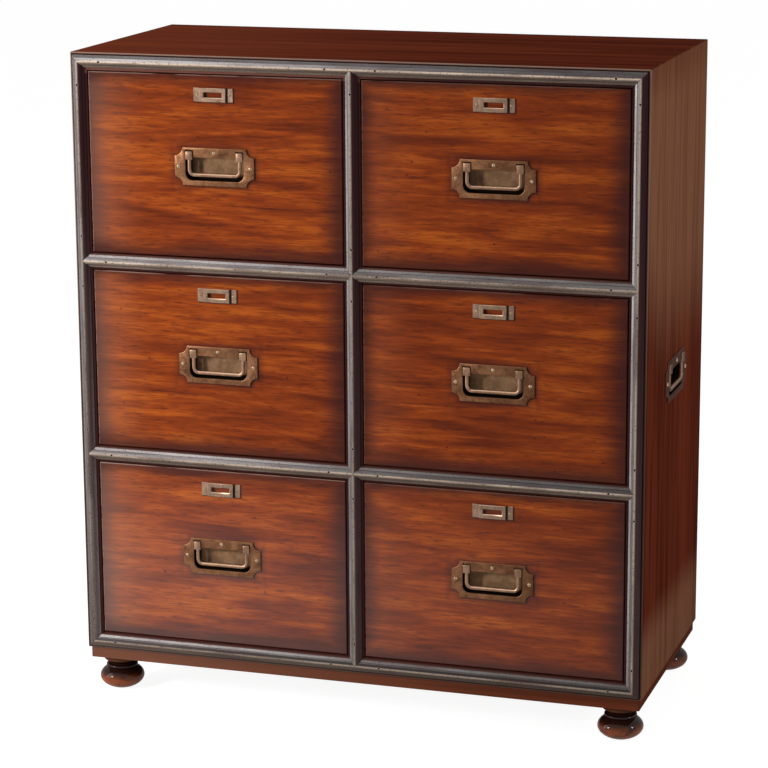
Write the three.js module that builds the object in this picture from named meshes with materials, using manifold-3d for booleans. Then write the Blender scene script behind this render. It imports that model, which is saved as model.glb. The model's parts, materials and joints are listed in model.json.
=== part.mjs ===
import * as THREE from 'three';
import { mergeVertices } from 'three/addons/utils/BufferGeometryUtils.js';
import Module from 'manifold-3d';

const wasm = await Module();
wasm.setup();

// A campaign chest: two columns of three deep drawers on bun feet, in millimetres.
// Pieces are drawn in front view, with x to the right, y up from the underside of the
// carcass and z out of the front. The last lines stand the chest up with +Z as up.

// Carcass
const chestWidth = 1000;
const chestDepth = 460;
const bodyHeight = 1055;
const caseThickness = 30;
const partitionThickness = 30;
const railHeight = 28;
const railDepth = 60;
const dustBoardThickness = 16;
const backThickness = 8;
const backInset = 3;
const columns = ['left', 'right'];
const rows = ['bottom', 'middle', 'top'];

// Plinth frame and bun feet
const plinthHeight = 20;
const plinthInset = 4;
const plinthRailWidth = 76;
const footHeight = 62;
const footInset = 40.5;
const footBulbRadius = 39.2;
const footBaseRadius = 16;
const footCollarRadius = 25;
const footBeadSwell = 3;
const footBeadHeight = 6;
const footNeckHeight = 1.2;
const footFlareRadius = 32.5;
const footFlareHeight = 14.6;
const footBandHeight = 2;
const footSides = 20;
const bulbSteps = 9;
const beadSteps = 3;
const flareSteps = 3;

// Metal moulding on the front edges of the carcass
const trimWidth = 21;
const trimRise = 9;
const trimEdge = 1.5;
const trimBeadWidth = 13.6;
const trimFlankRise = 3.5;
const trimNeckHalf = 1.5;
const trimBeadSteps = 6;

// Drawers
const drawerGap = 2;
const drawerFrontThickness = 22;
const frontEase = 1;
const boxSideGap = 3.5;
const boxSideThickness = 12;
const boxBackThickness = 12;
const boxBottomThickness = 6;
const boxBottomRise = 8;
const boxHeadroom = 21.4;
const boxBackDrop = 12;
const boxRearGap = 21.7;

// Flush pull on a drawer front: a plate with a pan behind it and a swinging bail
const drawerPull = {
  plateWidth: 142,
  plateHeight: 64,
  plateThickness: 2,
  cornerScoop: 14,
  rimSide: 19,
  rimBelow: 8.5,
  rimAbove: 4.6,
  tongueHeight: 16.5,
  openingCorner: 12,
  panDepth: 16,
  panWall: 2.5,
  panFloor: 2,
  rodRadius: 3.25,
  rodBend: 9,
  barClearance: 6.25,
  pivotSink: 0.5,
  knuckleWidth: 12,
  knuckleHeight: 14,
  knuckleDepth: 9,
  knuckleClearance: 1,
  sweepClearance: 0.6,
  pinRadius: 1.3,
  pinClearance: 0.3,
  pinReach: 1.7,
};
// The lifting handles on the sides are the same pattern, cast larger
const liftHandleShare = 1.13;
const liftHandleHeight = 508;
const rodSides = 10;
const bendSteps = 3;
const pinSides = 12;
const scoopSteps = 2;

// Label frame near the top of each drawer front
const labelWidth = 70;
const labelHeight = 23.4;
const labelTabWidth = 12;
const labelTabThickness = 1.2;
const labelCoverThickness = 1.9;
const labelWindowStile = 6.2;
const labelWindowRail = 7.1;
const labelSlotThickness = 1.5;
const labelSlotStile = 3;
const labelSlotRail = 4.25;
const labelDrop = 35;

// Clearances
const fitGap = 0.3;
const cutOverrun = 5;

// Places that follow from the sizes
const halfWidth = chestWidth / 2;
const innerHalfWidth = halfWidth - caseThickness;
const innerDepth = chestDepth - backInset - backThickness;
const cellWidth = (2 * innerHalfWidth - (columns.length - 1) * partitionThickness) / columns.length;
const cellHeight = (bodyHeight - 2 * caseThickness - (rows.length - 1) * railHeight) / rows.length;
const columnPitch = cellWidth + partitionThickness;
const rowPitch = cellHeight + railHeight;
const mitreBack = fitGap * Math.SQRT1_2;

const cellLeft = (column) => -innerHalfWidth + column * columnPitch;
const cellFloor = (row) => caseThickness + row * rowPitch;
const railCentre = (row) => cellFloor(row) - railHeight / 2;

// Finishes
const finish = (color, roughness, metalness) =>
  new THREE.MeshStandardMaterial({ color, roughness, metalness });
const mahogany = () => finish(0x5a2412, 0.4, 0);
const drawerMahogany = () => finish(0x8a3a16, 0.38, 0);
const insideWood = () => finish(0xb08a5c, 0.65, 0);
const darkMahogany = () => finish(0x3d140a, 0.22, 0);
const pewter = () => finish(0x6a6660, 0.45, 0.8);
const agedBrass = () => finish(0x7d6240, 0.42, 0.85);

// Solids

function solid(geometry) {
  const bare = geometry.clone();
  bare.deleteAttribute('normal');
  bare.deleteAttribute('uv');
  const merged = mergeVertices(bare);
  const vertProperties = Float32Array.from(merged.attributes.position.array);
  const triVerts = Uint32Array.from(merged.index.array);
  return new wasm.Manifold(new wasm.Mesh({ numProp: 3, vertProperties, triVerts }));
}

function geometryOf(body) {
  const mesh = body.getMesh();
  const geometry = new THREE.BufferGeometry();
  geometry.setAttribute('position', new THREE.BufferAttribute(mesh.vertProperties, 3));
  geometry.setIndex(new THREE.BufferAttribute(mesh.triVerts, 1));
  return geometry;
}

function block(width, height, depth, x = 0, y = 0, z = 0) {
  return new THREE.BoxGeometry(width, height, depth).translate(x, y, z);
}

// A box given by its lowest and highest corners
function boxBetween(low, high) {
  const size = high.map((value, axis) => value - low[axis]);
  const middle = high.map((value, axis) => (value + low[axis]) / 2);
  return block(...size, ...middle);
}

function outline(points) {
  return new THREE.Shape(points.map(([x, y]) => new THREE.Vector2(x, y)));
}

// A flat outline given thickness from z = from to z = to
function plateOf(shape, from, to, curveSegments = scoopSteps) {
  const options = { depth: to - from, bevelEnabled: false, curveSegments };
  return new THREE.ExtrudeGeometry(shape, options).translate(0, 0, from);
}

function rodAlongX(radius, from, to, y, z) {
  return new THREE.CylinderGeometry(radius, radius, to - from, pinSides)
    .rotateZ(Math.PI / 2)
    .translate((from + to) / 2, y, z);
}

// A path with one station for each step of the sweep, and its own direction at each
class StationPath extends THREE.Curve {
  constructor(stations) {
    super();
    this.stations = stations;
  }

  station(t) {
    return this.stations[Math.round(t * (this.stations.length - 1))];
  }

  getUtoTmapping(u) {
    return u;
  }

  getPoint(t, target = new THREE.Vector3()) {
    return target.copy(this.station(t).point);
  }

  getTangent(t, target = new THREE.Vector3()) {
    return target.copy(this.station(t).direction);
  }
}

function piece(name, geometry, material, x = 0, y = 0, z = 0) {
  const mesh = new THREE.Mesh(geometry, material);
  mesh.name = name;
  mesh.position.set(x, y, z);
  return mesh;
}

// Carcass

// A side panel, mitred to the top, with the mortise for its lifting handle
function sidePanel(side, handle) {
  const mitreTop = bodyHeight - caseThickness - 2 * mitreBack;
  const panel = plateOf(outline([
    [side * innerHalfWidth, 0],
    [side * halfWidth, 0],
    [side * halfWidth, bodyHeight - 2 * mitreBack],
    [side * innerHalfWidth, mitreTop],
  ]), -chestDepth, 0);
  const mortise = handleMortise(handle).applyMatrix4(sideFrame(side).matrix);
  return geometryOf(solid(panel).subtract(solid(mortise)));
}

function topPanel() {
  return plateOf(outline([
    [-halfWidth, bodyHeight],
    [halfWidth, bodyHeight],
    [innerHalfWidth, bodyHeight - caseThickness],
    [-innerHalfWidth, bodyHeight - caseThickness],
  ]), -chestDepth, 0);
}

function bottomPanel() {
  const reach = innerHalfWidth - fitGap;
  return boxBetween([-reach, 0, -innerDepth + fitGap], [reach, caseThickness, 0]);
}

function backPanel() {
  const reach = innerHalfWidth - fitGap;
  const top = bodyHeight - caseThickness - fitGap;
  return boxBetween([-reach, 0, -innerDepth - backThickness], [reach, top, -innerDepth]);
}

// The partition is slotted from behind and the dust boards from the front, so they cross
function partition() {
  const half = partitionThickness / 2;
  const low = [-half, caseThickness + fitGap, -innerDepth + fitGap];
  const high = [half, bodyHeight - caseThickness - fitGap, 0];
  let body = solid(boxBetween(low, high));
  for (let row = 1; row < rows.length; row += 1) {
    const top = cellFloor(row);
    body = body.subtract(solid(boxBetween(
      [-half - cutOverrun, top - dustBoardThickness - fitGap, -innerDepth - cutOverrun],
      [half + cutOverrun, top + fitGap, -innerDepth / 2],
    )));
  }
  return geometryOf(body);
}

// A thick rail along the front with a thinner board behind it, flush on top
function dustBoard(row) {
  const top = cellFloor(row);
  const reach = innerHalfWidth - fitGap;
  const half = partitionThickness / 2 + fitGap;
  const rail = boxBetween([-reach, top - railHeight, -railDepth], [reach, top, 0]);
  const board = boxBetween(
    [-reach, top - dustBoardThickness, -innerDepth + fitGap],
    [reach, top, 0],
  );
  const slot = boxBetween(
    [-half, top - railHeight - cutOverrun, -innerDepth / 2 - fitGap],
    [half, top + cutOverrun, cutOverrun],
  );
  return geometryOf(solid(rail).add(solid(board)).subtract(solid(slot)));
}

// Plinth

// A flat rail with mitred ends, lying along x with its outer edge at z = 0
function plinthRail(length) {
  const outer = length / 2 - 2 * mitreBack;
  const inner = outer - plinthRailWidth;
  const shape = outline([[-outer, 0], [outer, 0], [inner, plinthRailWidth], [-inner, plinthRailWidth]]);
  return plateOf(shape, 0, plinthHeight - fitGap).rotateX(-Math.PI / 2);
}

function footProfile() {
  const points = [[0, 0]];
  const baseAngle = Math.acos(footBaseRadius / footBulbRadius);
  const collarAngle = Math.acos(footCollarRadius / footBulbRadius);
  const turned = footBeadHeight + footNeckHeight + footFlareHeight + footBandHeight;
  const bulbHeight = footHeight - fitGap - turned;
  const halfHeight = bulbHeight / (Math.sin(baseAngle) + Math.sin(collarAngle));
  const centre = halfHeight * Math.sin(baseAngle);
  for (let step = 0; step <= bulbSteps; step += 1) {
    const angle = -baseAngle + (step / bulbSteps) * (baseAngle + collarAngle);
    points.push([footBulbRadius * Math.cos(angle), centre + halfHeight * Math.sin(angle)]);
  }
  const beadFoot = bulbHeight;
  for (let step = 1; step <= beadSteps; step += 1) {
    const angle = (step / beadSteps - 1 / 2) * Math.PI;
    points.push([
      footCollarRadius + footBeadSwell * Math.cos(angle),
      beadFoot + (footBeadHeight / 2) * (1 + Math.sin(angle)),
    ]);
  }
  const flareFoot = beadFoot + footBeadHeight + footNeckHeight;
  for (let step = 0; step <= flareSteps; step += 1) {
    const angle = (step / flareSteps) * (Math.PI / 2);
    points.push([
      footCollarRadius + (footFlareRadius - footCollarRadius) * (1 - Math.cos(angle)),
      flareFoot + footFlareHeight * Math.sin(angle),
    ]);
  }
  points.push([footFlareRadius, footHeight - fitGap]);
  points.push([0, footHeight - fitGap]);
  return points.map(([radius, height]) => new THREE.Vector2(radius, height));
}

// Moulding

function trimSection() {
  const half = trimWidth / 2;
  const points = [[-half, 0], [-half, trimEdge]];
  for (let step = 0; step <= trimBeadSteps; step += 1) {
    const angle = Math.PI * (1 - step / trimBeadSteps);
    points.push([
      (trimBeadWidth / 2) * Math.cos(angle),
      trimFlankRise + (trimRise - trimFlankRise) * Math.sin(angle),
    ]);
  }
  points.push([half, trimEdge], [half, 0]);
  return outline(points);
}

// The corners of one end of a strip, from its lower edge to its upper edge. An outer
// corner of the frame is mitred; an end that meets another strip's flank is pointed.
function trimEnd(x, mitred) {
  const half = trimWidth / 2;
  if (mitred) {
    return [[x - half - mitreBack, -half], [x + half - mitreBack, half]];
  }
  const tip = x - trimNeckHalf - fitGap;
  const tipHalf = trimNeckHalf + fitGap - mitreBack;
  return [[x - half - mitreBack, -half], [tip, -tipHalf], [tip, tipHalf], [x - half - mitreBack, half]];
}

// The notch in a strip's lower edge that takes the point of a strip meeting it at x
function trimNotch(x) {
  const half = trimWidth / 2;
  const mouth = half + mitreBack;
  const neck = trimNeckHalf + mitreBack;
  return [[x - mouth, -half], [x - neck, -trimNeckHalf], [x + neck, -trimNeckHalf], [x + mouth, -half]];
}

// A strip along x between two ridge crossings, with notches below and above its ridge
function trimStrip(length, mitred, notchesBelow = [], notchesAbove = []) {
  const end = trimEnd(length / 2, mitred);
  const start = end.map(([x, y]) => [-x, y]).reverse();
  const below = notchesBelow.flatMap(trimNotch);
  const above = notchesAbove.flatMap(trimNotch).map(([x, y]) => [x, -y]).reverse();
  const plan = plateOf(outline([...below, ...end, ...above, ...start]), -cutOverrun, trimRise + cutOverrun);
  const run = length + 2 * trimWidth;
  const across = new THREE.Vector3(0, 1, 0);
  const out = new THREE.Vector3(0, 0, 1);
  const along = new THREE.Vector3(1, 0, 0);
  const bar = plateOf(trimSection(), -run / 2, run / 2)
    .applyMatrix4(new THREE.Matrix4().makeBasis(across, out, along));
  return geometryOf(solid(bar).intersect(solid(plan)));
}

// Drawers

function drawerFront(pull) {
  const width = cellWidth - 2 * drawerGap - 2 * frontEase;
  const height = cellHeight - 2 * drawerGap - 2 * frontEase;
  const corners = [[-1, -1], [1, -1], [1, 1], [-1, 1]];
  const shape = outline(corners.map(([x, y]) => [x * width / 2, y * height / 2]));
  const board = new THREE.ExtrudeGeometry(shape, {
    depth: drawerFrontThickness - 2 * frontEase,
    bevelSize: frontEase,
    bevelThickness: frontEase,
    bevelSegments: 1,
  }).translate(0, 0, frontEase - drawerFrontThickness);
  return geometryOf(solid(board).subtract(solid(handleMortise(pull))));
}

// Sides, back and bottom; the drawer front closes it
function drawerBox() {
  const half = cellWidth / 2 - boxSideGap;
  const floor = fitGap - cellHeight / 2;
  const front = -drawerFrontThickness - fitGap;
  const rear = boxRearGap - innerDepth;
  const top = cellHeight / 2 - boxHeadroom;
  const inner = half - boxSideThickness;
  const innerRear = rear + boxBackThickness;
  const bottom = floor + boxBottomRise;
  const outer = boxBetween([-half, floor, rear], [half, top, front]);
  const hollow = boxBetween(
    [-inner, bottom + boxBottomThickness, innerRear],
    [inner, top + cutOverrun, front + cutOverrun],
  );
  const under = boxBetween(
    [-inner, floor - cutOverrun, innerRear],
    [inner, bottom, front + cutOverrun],
  );
  const lowered = boxBetween(
    [-inner, top - boxBackDrop, rear - cutOverrun],
    [inner, top + cutOverrun, innerRear + cutOverrun],
  );
  return geometryOf(solid(outer).subtract(solid(hollow)).subtract(solid(under)).subtract(solid(lowered)));
}

// A bridge with a window, a card slot open at its right end and a screw tab at each end
function labelFrame() {
  const bridgeHalf = labelWidth / 2 - labelTabWidth;
  const slotTop = labelTabThickness + labelSlotThickness;
  const rise = slotTop + labelCoverThickness;
  const windowHalf = bridgeHalf - labelWindowStile;
  const windowRise = labelHeight / 2 - labelWindowRail;
  const slotRise = labelHeight / 2 - labelSlotRail;
  const tabs = block(labelWidth, labelHeight, labelTabThickness, 0, 0, labelTabThickness / 2);
  const bridge = block(2 * bridgeHalf, labelHeight, rise, 0, 0, rise / 2);
  const window = boxBetween(
    [-windowHalf, -windowRise, -cutOverrun],
    [windowHalf, windowRise, rise + cutOverrun],
  );
  const slot = boxBetween(
    [labelSlotStile - bridgeHalf, -slotRise, labelTabThickness],
    [labelWidth / 2, slotRise, slotTop],
  );
  return geometryOf(solid(tabs).add(solid(bridge)).subtract(solid(window)).subtract(solid(slot)));
}

// Flush handles

// The sizes that a handle's opening and its bail take from the plate: the opening's top
// clears the corners of the turning knuckles, and the legs stand just inside its ends
function openingOf(handle) {
  const halfSpan = handle.plateWidth / 2 - handle.rimSide;
  const bottom = -handle.plateHeight / 2 + handle.rimBelow;
  const top = handle.plateHeight / 2 - handle.rimAbove;
  const sweep = Math.hypot(handle.knuckleHeight / 2, handle.knuckleDepth / 2);
  return {
    halfSpan,
    bottom,
    top,
    pivotRise: top - sweep - handle.sweepClearance,
    legX: halfSpan - handle.knuckleClearance - handle.knuckleWidth / 2,
    barY: bottom + handle.barClearance + handle.rodRadius,
  };
}

// An upright outline with round lower corners, grown by a margin all round
function panShape(handle, margin) {
  const opening = openingOf(handle);
  const half = opening.halfSpan + margin;
  const bottom = opening.bottom - margin;
  const top = opening.top + margin;
  const radius = handle.openingCorner + margin;
  const shape = new THREE.Shape();
  shape.absarc(half - radius, bottom + radius, radius, -Math.PI / 2, 0, false);
  shape.lineTo(half, top);
  shape.lineTo(-half, top);
  shape.absarc(radius - half, bottom + radius, radius, Math.PI, 1.5 * Math.PI, false);
  return shape;
}

function handleMortise(handle) {
  const deepest = handle.panDepth + handle.panFloor;
  return plateOf(panShape(handle, handle.panWall + fitGap), -deepest, cutOverrun);
}

function handlePlate(handle) {
  const { plateWidth, plateHeight, cornerScoop, plateThickness } = handle;
  const face = new THREE.Shape();
  [[1, -1], [1, 1], [-1, 1], [-1, -1]].forEach(([x, y], corner) => {
    const start = Math.PI * (1 + corner / 2);
    face.absarc(x * plateWidth / 2, y * plateHeight / 2, cornerScoop, start, start - Math.PI / 2, true);
  });
  const pan = plateOf(panShape(handle, handle.panWall), -handle.panDepth - handle.panFloor, 0);
  const cavity = plateOf(panShape(handle, 0), -handle.panDepth, 0);
  const mouth = plateOf(panShape(handle, 0), -cutOverrun, plateThickness + cutOverrun);
  const { halfSpan, top, pivotRise, legX } = openingOf(handle);
  const tongueHalf = legX - handle.knuckleWidth / 2 - handle.knuckleClearance;
  const tongue = boxBetween(
    [-tongueHalf, plateHeight / 2 - handle.tongueHeight, 0],
    [tongueHalf, top + handle.panWall, plateThickness],
  );
  let body = solid(plateOf(face, 0, plateThickness)).add(solid(pan));
  body = body.subtract(solid(mouth)).subtract(solid(cavity)).add(solid(tongue));
  const boreRadius = handle.pinRadius + handle.pinClearance;
  for (const side of [-1, 1]) {
    const open = side * (halfSpan - handle.knuckleClearance);
    const blind = side * (halfSpan + handle.pinReach + handle.pinClearance);
    const ends = [Math.min(open, blind), Math.max(open, blind)];
    body = body.subtract(solid(rodAlongX(boreRadius, ...ends, pivotRise, -handle.pivotSink)));
  }
  return geometryOf(body);
}

// The stations of the bent rod, from inside the left knuckle to inside the right one
function bailStations(handle) {
  const { legX, barY, pivotRise } = openingOf(handle);
  const legTops = [-1, 1].map((side) => new THREE.Vector3(side * legX, pivotRise, 0));
  const stations = [{ point: legTops[0], direction: new THREE.Vector3(0, -1, 0) }];
  for (const side of [-1, 1]) {
    for (let step = 0; step <= bendSteps; step += 1) {
      const turn = (step / bendSteps) * (Math.PI / 2);
      const angle = side < 0 ? Math.PI + turn : 1.5 * Math.PI + turn;
      const x = side * (legX - handle.rodBend) + handle.rodBend * Math.cos(angle);
      const y = barY + handle.rodBend * (1 + Math.sin(angle));
      stations.push({
        point: new THREE.Vector3(x, y, 0),
        direction: new THREE.Vector3(-Math.sin(angle), Math.cos(angle), 0),
      });
    }
  }
  stations.push({ point: legTops[1], direction: new THREE.Vector3(0, 1, 0) });
  return stations;
}

function handleBail(handle) {
  const ring = [];
  for (let side = 0; side < rodSides; side += 1) {
    const angle = (2 * Math.PI * (side + 1 / 2)) / rodSides;
    ring.push([handle.rodRadius * Math.cos(angle), handle.rodRadius * Math.sin(angle)]);
  }
  const stations = bailStations(handle);
  const rod = new THREE.ExtrudeGeometry(outline(ring), {
    steps: stations.length - 1,
    extrudePath: new StationPath(stations),
  });
  let body = solid(rod);
  const { knuckleWidth, knuckleHeight, knuckleDepth, pivotSink } = handle;
  const { halfSpan, legX, pivotRise } = openingOf(handle);
  for (const side of [-1, 1]) {
    const centre = side * legX;
    const pinEnd = side * (halfSpan + handle.pinReach);
    const ends = [Math.min(centre, pinEnd), Math.max(centre, pinEnd)];
    body = body
      .add(solid(block(knuckleWidth, knuckleHeight, knuckleDepth, centre, pivotRise, -pivotSink)))
      .add(solid(rodAlongX(handle.pinRadius, ...ends, pivotRise, -pivotSink)));
  }
  return geometryOf(body);
}

function enlarged(handle, share) {
  return Object.fromEntries(Object.entries(handle).map(([name, value]) => [name, value * share]));
}

// The frame of a handle on a side of the carcass, facing outwards
function sideFrame(side) {
  const frame = new THREE.Group();
  frame.position.set(side * halfWidth, liftHandleHeight, -chestDepth / 2);
  frame.rotation.y = side * Math.PI / 2;
  frame.updateMatrix();
  return frame;
}

// Assembly

const chest = new THREE.Group();
const liftHandle = enlarged(drawerPull, liftHandleShare);

chest.add(piece('top_panel', topPanel(), mahogany()));
chest.add(piece('left_side_panel', sidePanel(-1, liftHandle), mahogany()));
chest.add(piece('right_side_panel', sidePanel(1, liftHandle), mahogany()));
chest.add(piece('bottom_panel', bottomPanel(), mahogany()));
chest.add(piece('back_panel', backPanel(), insideWood()));
chest.add(piece('centre_partition', partition(), mahogany()));
chest.add(piece('lower_dust_board', dustBoard(1), mahogany()));
chest.add(piece('upper_dust_board', dustBoard(2), mahogany()));

// Plinth rails, each turned to face its own side of the chest
const plinthWidth = chestWidth - 2 * plinthInset;
const plinthDepth = chestDepth - 2 * plinthInset;
[
  ['plinth_front_rail', plinthWidth, plinthDepth, 0],
  ['plinth_right_rail', plinthDepth, plinthWidth, 1],
  ['plinth_back_rail', plinthWidth, plinthDepth, 2],
  ['plinth_left_rail', plinthDepth, plinthWidth, 3],
].forEach(([name, length, span, quarterTurns]) => {
  const turned = new THREE.Group();
  turned.position.set(0, -plinthHeight, -chestDepth / 2);
  turned.rotation.y = quarterTurns * Math.PI / 2;
  turned.add(piece(name, plinthRail(length), mahogany(), 0, 0, span / 2));
  chest.add(turned);
});

const footReach = plinthInset + footInset;
for (const [end, depth] of [['front', footReach], ['back', chestDepth - footReach]]) {
  for (const [hand, side] of [['left', -1], ['right', 1]]) {
    const foot = new THREE.LatheGeometry(footProfile(), footSides);
    const x = side * (halfWidth - footReach);
    chest.add(piece(`foot_${end}_${hand}`, foot, darkMahogany(), x, -plinthHeight - footHeight, -depth));
  }
}

// Moulding along the ridge lines in the middle of the front edges
const ridgeLeft = caseThickness / 2 - halfWidth;
const ridgeBottom = caseThickness / 2;
const ridgeTop = bodyHeight - caseThickness / 2;
const frameLength = -2 * ridgeLeft;
const frameRise = ridgeTop - ridgeBottom;
const frameMiddle = (ridgeTop + ridgeBottom) / 2;
const crossings = [railCentre(1), railCentre(2)];
const crossingsAlong = crossings.map((height) => height - frameMiddle);

function addTrim(name, geometry, x, y, turn) {
  const strip = piece(name, geometry, pewter(), x, y, fitGap);
  strip.rotation.z = turn;
  chest.add(strip);
}

addTrim('trim_top', trimStrip(frameLength, true, [0]), 0, ridgeTop, 0);
addTrim('trim_bottom', trimStrip(frameLength, true, [0]), 0, ridgeBottom, Math.PI);
addTrim('trim_left', trimStrip(frameRise, true, crossingsAlong), ridgeLeft, frameMiddle, Math.PI / 2);
const mirroredCrossings = crossingsAlong.map((along) => -along).reverse();
addTrim('trim_right', trimStrip(frameRise, true, mirroredCrossings), -ridgeLeft, frameMiddle, -Math.PI / 2);
const centreStrip = trimStrip(frameRise, false, crossingsAlong, crossingsAlong);
addTrim('trim_centre', centreStrip, 0, frameMiddle, Math.PI / 2);
['lower', 'upper'].forEach((level, index) => {
  for (const [hand, side] of [['left', -1], ['right', 1]]) {
    const strip = trimStrip(-ridgeLeft, false);
    addTrim(`trim_${level}_${hand}`, strip, side * -ridgeLeft / 2, crossings[index], 0);
  }
});

// Drawers with their fittings
rows.forEach((row, rowIndex) => {
  columns.forEach((column, columnIndex) => {
    const place = `${row}_${column}`;
    const drawer = new THREE.Group();
    const x = cellLeft(columnIndex) + cellWidth / 2;
    drawer.position.set(x, cellFloor(rowIndex) + cellHeight / 2, 0);
    drawer.add(piece(`drawer_front_${place}`, drawerFront(drawerPull), drawerMahogany()));
    drawer.add(piece(`drawer_box_${place}`, drawerBox(), insideWood()));
    drawer.add(piece(`pull_plate_${place}`, handlePlate(drawerPull), agedBrass(), 0, 0, fitGap));
    drawer.add(piece(`pull_bail_${place}`, handleBail(drawerPull), agedBrass(), 0, 0, fitGap));
    const labelCentre = cellHeight / 2 - labelDrop;
    drawer.add(piece(`label_frame_${place}`, labelFrame(), agedBrass(), 0, labelCentre, fitGap));
    chest.add(drawer);
  });
});

for (const [hand, side] of [['left', -1], ['right', 1]]) {
  const frame = sideFrame(side);
  frame.add(piece(`handle_plate_${hand}`, handlePlate(liftHandle), agedBrass(), 0, 0, fitGap));
  frame.add(piece(`handle_bail_${hand}`, handleBail(liftHandle), agedBrass(), 0, 0, fitGap));
  chest.add(frame);
}

// Stand the chest up, with the middle of its footprint at the origin
const frontReach = fitGap + trimRise;
chest.rotation.x = Math.PI / 2;
chest.position.set(0, (frontReach - chestDepth) / 2, footHeight + plinthHeight);

const group = new THREE.Group();
group.add(chest);

export default group;
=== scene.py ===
"""The looks of a campaign chest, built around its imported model.

Six deep mahogany drawers with flush brass pulls and label frames, a metal moulding on the
front edges, a lifting handle on each side and turned bun feet.
"""

import json
import math
import random

import bmesh
import bpy
from bpy.props import FloatProperty, FloatVectorProperty, IntProperty, PointerProperty
from mathutils import Matrix, Vector

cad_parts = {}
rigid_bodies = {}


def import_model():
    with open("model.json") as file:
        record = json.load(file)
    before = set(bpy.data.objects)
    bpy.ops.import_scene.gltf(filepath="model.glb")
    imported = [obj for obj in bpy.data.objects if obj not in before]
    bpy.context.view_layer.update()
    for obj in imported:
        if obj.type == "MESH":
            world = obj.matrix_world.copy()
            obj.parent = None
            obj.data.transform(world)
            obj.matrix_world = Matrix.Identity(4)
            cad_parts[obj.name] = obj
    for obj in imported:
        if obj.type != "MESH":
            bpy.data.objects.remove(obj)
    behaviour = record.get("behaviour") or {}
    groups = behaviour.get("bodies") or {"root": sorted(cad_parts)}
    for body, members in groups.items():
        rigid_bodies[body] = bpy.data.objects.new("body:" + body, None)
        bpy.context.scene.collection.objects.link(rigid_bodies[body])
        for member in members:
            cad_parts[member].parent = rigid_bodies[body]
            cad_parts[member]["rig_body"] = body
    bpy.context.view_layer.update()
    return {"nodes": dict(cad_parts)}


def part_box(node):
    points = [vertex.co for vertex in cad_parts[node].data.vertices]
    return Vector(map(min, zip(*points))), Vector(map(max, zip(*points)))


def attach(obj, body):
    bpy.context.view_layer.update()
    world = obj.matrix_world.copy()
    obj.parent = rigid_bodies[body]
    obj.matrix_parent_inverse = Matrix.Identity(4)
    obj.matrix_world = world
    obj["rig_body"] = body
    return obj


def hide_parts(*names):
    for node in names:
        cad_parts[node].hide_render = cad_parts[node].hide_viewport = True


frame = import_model()

bl_info = {
    "name": "Campaign Chest",
    "version": (1, 0, 0),
    "blender": (4, 5, 0),
    "location": "View3D > Sidebar > Chest",
    "description": "Builds the finish and the fittings of a campaign chest",
    "category": "Object",
}

MM = 0.001
ROWS = ("bottom", "middle", "top")
COLUMNS = ("left", "right")
PLACES = [f"{row}_{column}" for row in ROWS for column in COLUMNS]
HANDS = {"left": -1, "right": 1}
FORWARD = (0, -1, 0)
MERGE_DISTANCE = 0.004 * MM
WHITE = (1, 1, 1, 1)
ACROSS, LIT, RIM, OPEN = "across", "lit", "rim", "open"


def length(name, description, millimetres):
    """A length that a user may change, given in millimetres and kept in metres."""
    return FloatProperty(
        name=name, description=description, default=millimetres * MM, min=0, unit="LENGTH", precision=4
    )


def colour(name, description, *shade):
    """A colour that a user may change, given as its red, green and blue."""
    return FloatVectorProperty(
        name=name, description=description, default=shade, min=0, max=1, size=3, subtype="COLOR"
    )


def number(name, description, default, **more):
    """Another number that a user may change."""
    return FloatProperty(name=name, description=description, default=default, **more)


# Sizes and colours


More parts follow.
